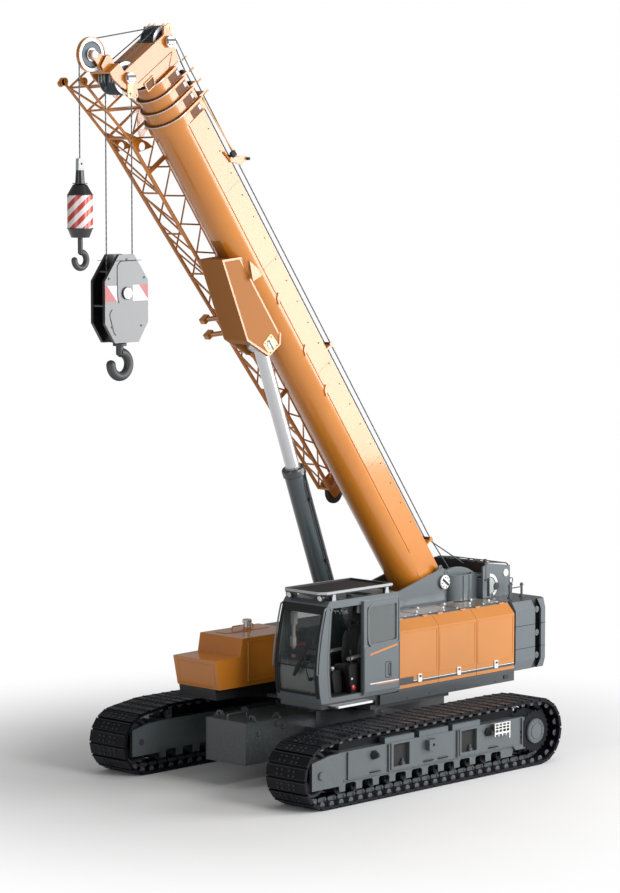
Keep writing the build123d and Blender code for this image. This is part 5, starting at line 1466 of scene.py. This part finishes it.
low_gusset = ((10.72, 0), (10.28, 0.02), (10.15, 0.36), (10.30, 0.30)), 0.16, 0.075
high_gusset = ((10.72, 0), (10.20, -0.01), (10.10, -0.32), (10.28, -0.28)), -0.14, 0.07
gussets = []
for y in (chord(10.4, "near"), chord(10.4, "far")):
    for line, (outline, hole, radius) in (("low", low_gusset), ("high", high_gusset)):
        w = chord(10.4, line)
        gusset = holed(np.array(outline) + (0, w), (10.30, w + hole), radius, -0.008, 0.008)
        gussets.append(on_boom_side(gusset, y))
piece("jib_gussets", joined(gussets), orange, base)

# %% [markdown]
# The CAD jib has the chords and the main stays. The thin struts between them are straight tubes at
# even steps; their ends are read off the chords' lines, so they always meet the chords.

# %% Struts, tip sheave and lug
def strut(a, b, radius=0.017):
    return on_boom(tube([a, b], radius, (0.3, 1, 0.2)))


braces = []
for s in np.arange(3.1, 10.2, 0.9):
    near, far, bottom = (chord(s, line) for line in ("near", "far", "low"))
    braces += [strut((s, near, w), (s, far, w)) for w in (bottom, chord(s, "high"))]
    braces.append(strut((s, near, bottom), (s + 0.9, chord(s + 0.9, "far"), chord(s + 0.9, "low"))))


def tip_frame(s):
    """The chords' w, high and low, between the jib's end frame and its tip."""
    share = (s - jib_start) / 1.35
    return 0.06 - 0.54 * share, -0.86 - 0.27 * share


tip_near, tip_far = -0.56, -1.0
for a, b in ((jib_start, 11.25), (11.25, 11.8)):
    (a_high, a_low), (b_high, b_low) = tip_frame(a), tip_frame(b)
    for y in (tip_near, tip_far):
        braces += [strut((a, y, a_high), (b, y, b_low), 0.02), strut((b, y, b_high), (b, y, b_low), 0.02)]
    braces.append(strut((a, tip_near, a_low), (b, tip_far, b_low), 0.02))
piece("jib_braces", joined(braces), orange, base)
lug_outline = soft(((11.90, -1.13), (12.03, -1.13), (12.02, -1.27), (11.92, -1.27)), 0.04, 4)
tip = lathe([(0.05, -0.035), (0.20, -0.035), (0.215, -0.02), (0.18, 0), (0.215, 0.02), (0.20, 0.035),
             (0.05, 0.035)], 32).at([(2.30, -0.78, -0.30)])
piece("jib_tip_sheave", on_boom(tip), link_steel, base)
fork_outline = soft(((2.22, -0.40), (2.62, -0.46), (2.62, -0.10), (2.22, -0.20)), 0.05, 4)
fittings = boom_plate(lug_outline, -1.0, -0.02, 0.02, 0.004) + joined(
    boom_plate(fork_outline, y, -0.01, 0.01, 0.003) for y in (-0.73, -0.83))
piece("jib_fittings", fittings, orange, base)

# %% [markdown]
# ## Boom head
# Bright pin caps with black keeper straps stand on both cheeks. Every groove of the two sheave
# stacks holds a turn of rope, two falls pass from the upper stack to the lower one, and the
# single auxiliary line crosses over to the small sheave at the front of the arm.

# %% Pins and the rope turns on the sheaves
head, upper, lower = "head_section", boom_point(11.775, 0, 0.240), boom_point(11.812, 0, -0.858)
nose, sheave_gap, groove, rope, cheek_y = boom_point(12.475, 0, -1.133), 0.068, 0.250, 0.011, 0.298


def hoop(radius, thick, steps=48, sides=8):
    """A circle carried round the Y axis and closed on itself."""
    turn, small = np.meshgrid(np.arange(steps) * math.tau / steps,
                              np.arange(sides) * math.tau / sides, indexing="ij")
    reach = radius + thick * np.cos(small)
    ring = np.stack((reach * np.cos(turn), thick * np.sin(small), reach * np.sin(turn)), axis=-1)
    return skin(ring, True)


cap = lathe([(0.100, -0.012), (0.100, 0.006), (0.090, 0.014), (0.02, 0.016)], 40)
caps = cap.at([upper + (0, cheek_y, 0), lower + (0, cheek_y, 0)])
strap = box((-0.095, -0.012, 0.012), (0.10, 0.030, 0.026), 0.003) + box(
    (-0.10, -0.05, 0.012), (-0.06, 0.02, 0.024), 0.003)
straps = strap.at([place + (0, cheek_y, 0.02) for place in (upper, lower)], leftwards, (-1, 0, 0.05))
keys = small_bolt.repeat([(x, -0.048, 0.014) for x in (-0.035, 0.035)]).at(
    [place + (0, cheek_y, 0) for place in (upper, lower)], leftwards, (-1, 0, 0))
piece("head_pin_caps", caps.both_sides(), bright_cap, head)
piece("head_keepers", (straps + keys).both_sides(), black_paint, head)
turns = hoop(groove, rope).repeat([upper + (0, i * sheave_gap, 0) for i in range(-2, 3)]
                                  + [lower + (0, (i - 2.5) * sheave_gap, 0) for i in range(6)] + [nose])
piece("sheave_ropes", turns, dark_rope, head)

# %% [markdown]
# A rope leaves a wheel along a tangent. For two equal wheels the outer tangent is the line between
# their centres pushed out by the radius, so no angle has to be solved. The nose sheave's guard is
# a flat section carried round three quarters of a circle.

# %% Ropes between the sheaves, guard and seams
def crossing(a, b, y_a, y_b):
    """A rope along the outer tangent of two equal wheels, on their upper front side."""
    way = unit(b - a)
    normal = np.array((-way[2], 0, way[0])) * np.sign(way[0])
    return tube((a + groove * normal + (0, y_a, 0), b + groove * normal + (0, y_b, 0)), rope)


ropes = crossing(upper, lower, -0.136, -0.170) + crossing(upper, lower, 0.068, 0.102)
piece("head_ropes", ropes + crossing(upper, nose, 0, 0), dark_rope, head)
turn = np.radians(np.linspace(-75, 190, 28))
guard = np.stack([upright(around(turn, radius), y) + nose for radius, y in (
    (0.279, -0.036), (0.279, 0.036), (0.292, 0.036), (0.292, -0.036))], axis=1)
piece("rooster_guard", skin(guard), orange, head)
nose_cap = lathe([(0.07, 0), (0.07, 0.018), (0.055, 0.03), (0.02, 0.032)], 28).at(
    [nose + (0, 0.080, 0)])
piece("rooster_caps", nose_cap.both_sides(), bright_cap, head)
# Dark seam lines on the head's sides, and a dark patch inside the light frame that is painted shade.
lines = joined(boom_plate(outline, 0.2485, 0, 0.003, 0.0005) for outline in (
    ((11.60, 0.20), (11.612, 0.20), (11.632, -0.74), (11.620, -0.74)),
    ((11.20, -0.30), (11.60, 0.20), (11.59, 0.205), (11.19, -0.29)),
    ((11.40, -0.62), (11.52, -0.62), (11.52, -0.40), (11.40, -0.46))))
piece("head_seams_and_shade", lines + lines.mirrored(), shade_and_seam_orange, head)
# Frame, ears and lug on the head take the lighter orange: painted highlight.
frame_outline = (11.38, -0.64), (11.54, -0.64), (11.54, -0.38), (11.38, -0.44)
frame_lines = on_boom_side(rim(frame_outline, flat_section(0, 0.014, -0.001, 0.02)), 0.248)
ear_outline = soft(((11.84, 0.26), (12.02, 0.30), (12.02, 0.46), (11.86, 0.44)), 0.04, 4)
ears = joined(on_boom_side(holed(ear_outline, (11.95, 0.38), 0.03, 0, 0.02), y) for y in (0.10, 0.21))
piece("head_ears", (frame_lines + ears).both_sides(), highlight_orange, head)
lug_outline = soft(((-0.06, 0.10), (0.06, 0.10), (0.06, -0.22), (-0.06, -0.22)), 0.055, 5)
cheek_lug = seen_from_side(holed(lug_outline, (0, -0.15), 0.026, 0, 0.018), 0.249)
piece("cheek_lug", cheek_lug.repeat([lower + (-0.02, 0, -0.11)]), highlight_orange, head)

# %% [markdown]
# ## Block, weight and hooks
# The block's cheeks are light grey with a red and white band that leans forwards, interrupted at
# the pin; their edges and everything between the cheeks are painted near-black, as painted shade.
# The small weight carries slanting stripes between its two dark ends. Both patterns are sums of the
# Object coordinates.

# %% Paint of the block, the weight and the head's sheaves
main_x, aux_x, pin_z, pin_y = 5.0396, 5.909, 8.682, 0.195


def block_paint():
    """Cheek faces are where |y| > 173.5 mm; the band lies within 0.133 m of the pin's height."""
    f = Finish("block_paint", coat_weight=0.3)
    cloud = f.noise(2.5, 3)
    face = f.mix(cloud, from_srgb(97, 100, 102), from_srgb(108, 111, 114))
    lean = f.x - main_x - (f.z - (pin_z + 0.133)) * 0.835
    red = lean.between(0.438, 0.743) + (lean < -0.2785)
    side = (f.x > main_x + 0.212) + (f.x < main_x - 0.141)
    band = f.z.between(pin_z - 0.133, pin_z + 0.133) * side
    face = f.mix(band, face, f.mix(red, from_srgb(196, 196, 196), from_srgb(160, 26, 34)))
    # Below |y| = 173.5 mm, on the cheeks' edges and between the cheeks, the colour is near-black: painted
    # shade.
    colour = f.mix(f.y.size() > 0.1735, from_srgb(14, 14, 15), face)
    return f.use(colour=colour, roughness=0.34 + cloud * 0.1).material


def weight_paint():
    """Stripes rise to the right: red where the fraction of (z - across) / 0.21 is below a half."""
    f = Finish("weight_stripes", coat_weight=0.4)
    across = f.y * 0.72 - (f.x - aux_x) * 0.69
    phase = ((f.z - across) / 0.21 + 0.15).fraction()
    stripes = f.mix(phase < 0.5, from_srgb(230, 226, 224), from_srgb(192, 58, 46))
    colour = f.mix(f.z.between(9.77, 10.32), from_srgb(24, 25, 24), stripes)
    return f.use(colour=colour, roughness=0.3 + f.noise(40, 4) * 0.12).material


def sheave_paint():
    """Blue-grey grooves; the outermost faces of the stacks and of the small wheel are bright."""
    f = Finish("sheave_paint", metallic=0.3)
    side, fine = f.y.size(), f.noise(30, 4)
    bright = (f.x > 5.3) * (side > 0.023) + (f.x < 4.6) * (side > 0.155) + (f.x > 4.6) * (side > 0.189)
    dark = f.mix(fine, from_srgb(54, 60, 68), from_srgb(78, 86, 94))
    return f.use(colour=f.mix(bright, dark, from_srgb(214, 214, 214)), roughness=0.32 + fine * 0.1).material


for node, material in (("head_sheaves", sheave_paint()), ("main_block", block_paint()),
                       ("aux_weight", weight_paint()), ("block_sheaves", black_rubber)):
    finish_node(node, material)

# %% [markdown]
# Black lines follow the folded edges of the cheeks as painted shade, bright caps close the pin, and
# bars keep the falls in their grooves. Everything rides the hook gear, which hangs straight at any
# boom angle.

# %% Fittings of the block and the weight
main, aux, middle = "main_hook_gear", "aux_hook_gear", np.array((main_x, 0, pin_z))
face_y, edge_radius = 0.1755, 0.0075
pin_cap = lathe([(0.096, -0.03), (0.096, 0.014), (0.088, 0.020), (0.02, 0.022)], 40)
pin_collar = lathe([(0.104, -0.024), (0.104, 0.004), (0.098, 0.006)], 40)
for name, shape, material in (("pin", pin_cap, bright_cap), ("pin_collar", pin_collar, black_paint)):
    piece(f"block_{name}", shape.at([middle + (0, pin_y, 0)]).both_sides(), material, main)
# Black lines along the cheeks' folded edges: painted shade.
edges = joined(rail(upright(corners, face_y), 0.05, edge_radius, sides=6) for corners in (
    ((4.827, 9.222), (5.1855, 9.2165), (5.252, 9.139), (5.252, 8.65), (5.212, 8.522)),
    ((5.371, 8.420), (5.432, 8.347), (5.331, 8.033), (5.292, 7.993))))
seam_line = tube([(5.371, 0.175, 9.222), (4.70, 0.175, 9.222)], 0.0045, sides=6)
piece("block_edge_shade_and_seam_lines", (edges + seam_line).both_sides(), black_paint, main)
tie_bolts = hexagon_bolt.at([middle + (x, 0.174, z) for x, z in (
    (-0.33, -0.55), (0.33, -0.55), (-0.40, 0.25), (0.40, 0.25), (0.0, 0.56))])
piece("block_bolts", tie_bolts.both_sides(), link_grey, main)
guard_bars = joined(tube([middle + (x, -0.12, z), middle + (x, 0.12, z)], 0.016, forwards, 10)
                    for x, z in ((0.33, 0.36), (-0.33, 0.36), (0.46, -0.2), (-0.46, -0.2)))
piece("block_guard_bars", guard_bars, link_grey, main)
hook_nut = lathe([(0.115, 7.80), (0.115, 7.84), (0.10, 7.858), (0.09, 7.862)], 32) + bolt_circle(
    hexagon_bolt, 6, 0.088, 7.835)
piece("hook_nut", hook_nut.repeat([(main_x, 0, 0)]), forged_iron, main)
lips = rim(disc(0.122, 40), flat_section(-0.004, 0.03, 10.50, 10.512)) + joined(
    rim(disc(0.212, 48), flat_section(-0.003, 0.02, z, z + 0.014)) for z in (10.312, 9.764))
piece("weight_lips", lips.repeat([(aux_x, 0, 0)]), black_paint, aux)
wedge_outline = soft(((-0.06, 0.0), (0.06, 0.0), (0.055, 0.22), (-0.055, 0.22)), 0.03, 4)
wedge = seen_from_side(holed(wedge_outline, (-0.01, 0.13), 0.02, -0.035, 0.035))
piece("wedge_socket", wedge.repeat([(aux_x, 0, 10.695)]), light_grey, aux)

# %% [markdown]
# ## Floor and light
# The crane stands in a white studio. The floor is pale, a touch grey near the crane where the
# photograph shows its soft shadow, and white further out, so that no horizon shows.

# %% Floor
def studio_floor():
    """Diffuse floor; what the camera sees fades to plain white away from the crane."""
    finish = Finish("studio_floor", roughness=0.55)
    away = ((finish.x * finish.x + finish.y * finish.y) ** 0.5).step(4.0, 11.5)
    cloud = finish.noise(0.5, 2)
    pale = finish.mix(cloud, (0.80, 0.80, 0.80), (0.83, 0.83, 0.83))
    finish.use(colour=pale, roughness=0.5 + cloud * 0.1)
    rays = finish.tree.nodes.new("ShaderNodeLightPath").outputs
    camera_ray, glossy_ray, passing_ray = (
        Value(finish, rays[f"Is {kind} Ray"]) for kind in ("Camera", "Glossy", "Transmission"))
    glow = finish.node("ShaderNodeEmission", None, {"Color": (1.0, 1.0, 1.0), "Strength": 1.0})
    diffuse, seen = Value(finish, finish.shader.outputs[0]), camera_ray + glossy_ray + passing_ray
    blend = finish.node("ShaderNodeMixShader", None, {0: away * seen, 1: diffuse, 2: glow})
    output = finish.tree.nodes["Material Output"]
    finish.tree.links.new(blend.socket, output.inputs["Surface"])
    return finish.material


reach = np.linspace(-60, 60, 25)
floor_x, floor_y = np.meshgrid(reach, reach, indexing="ij")
floor_points = np.stack((floor_x, floor_y, np.zeros_like(floor_x)), axis=-1)
floor = mesh_object("floor", Shape(floor_points, [grid_faces(25, 25)[:, ::-1]]), studio_floor())


# %% [markdown]
# The lamps are large, so shadows are soft; the brightest one stands high on the crane's left,
# which is the sunny side in the photograph. The sky is white where the camera sees it, but much
# dimmer as a light, or the shadows would lose their depth.

# %% Lamps and sky
def area_lamp(name, place, target, size, watts):
    """A large square lamp that looks at a point; the axis along which it shines is its own -Z."""
    lamp = bpy.data.lights.new(name, "AREA")
    lamp.size, lamp.energy = size, watts
    made = bpy.data.objects.new(name, lamp)
    back = unit(np.array(place, float) - target)
    side = unit(np.cross((0, 0, 1), back))
    made.matrix_world = placed(side, np.cross(back, side), back, place)
    bpy.context.scene.collection.objects.link(made)


area_lamp("key_lamp", (0, 28, 14), (1, 0, 5), 12, 4900)
area_lamp("side_card", (-12.5, 15.5, 9.5), (2, 0.4, 9.5), 12, 3750)
area_lamp("top_lamp", (-4, 4, 32), (0, 0, 2), 18, 1500)
area_lamp("front_lamp", (34, 6, 10), (1, 0, 5), 14, 1500)

world = bpy.data.worlds.new("studio")
world.use_nodes = True
bpy.context.scene.world = world
sky = world.node_tree
rays = sky.nodes.new("ShaderNodeLightPath").outputs
seen = sky.nodes.new("ShaderNodeMath")
sky.links.new(rays["Is Camera Ray"], seen.inputs[0])
sky.links.new(rays["Is Transmission Ray"], seen.inputs[1])
strength = sky.nodes.new("ShaderNodeMapRange")
strength.inputs["To Min"].default_value, strength.inputs["To Max"].default_value = 0.30, 1.0
sky.links.new(seen.outputs[0], strength.inputs["Value"])
sky.links.new(strength.outputs[0], sky.nodes["Background"].inputs["Strength"])
sky.nodes["Background"].inputs["Color"].default_value = (1, 1, 1, 1)
bpy.context.scene.view_settings.view_transform = "Standard"
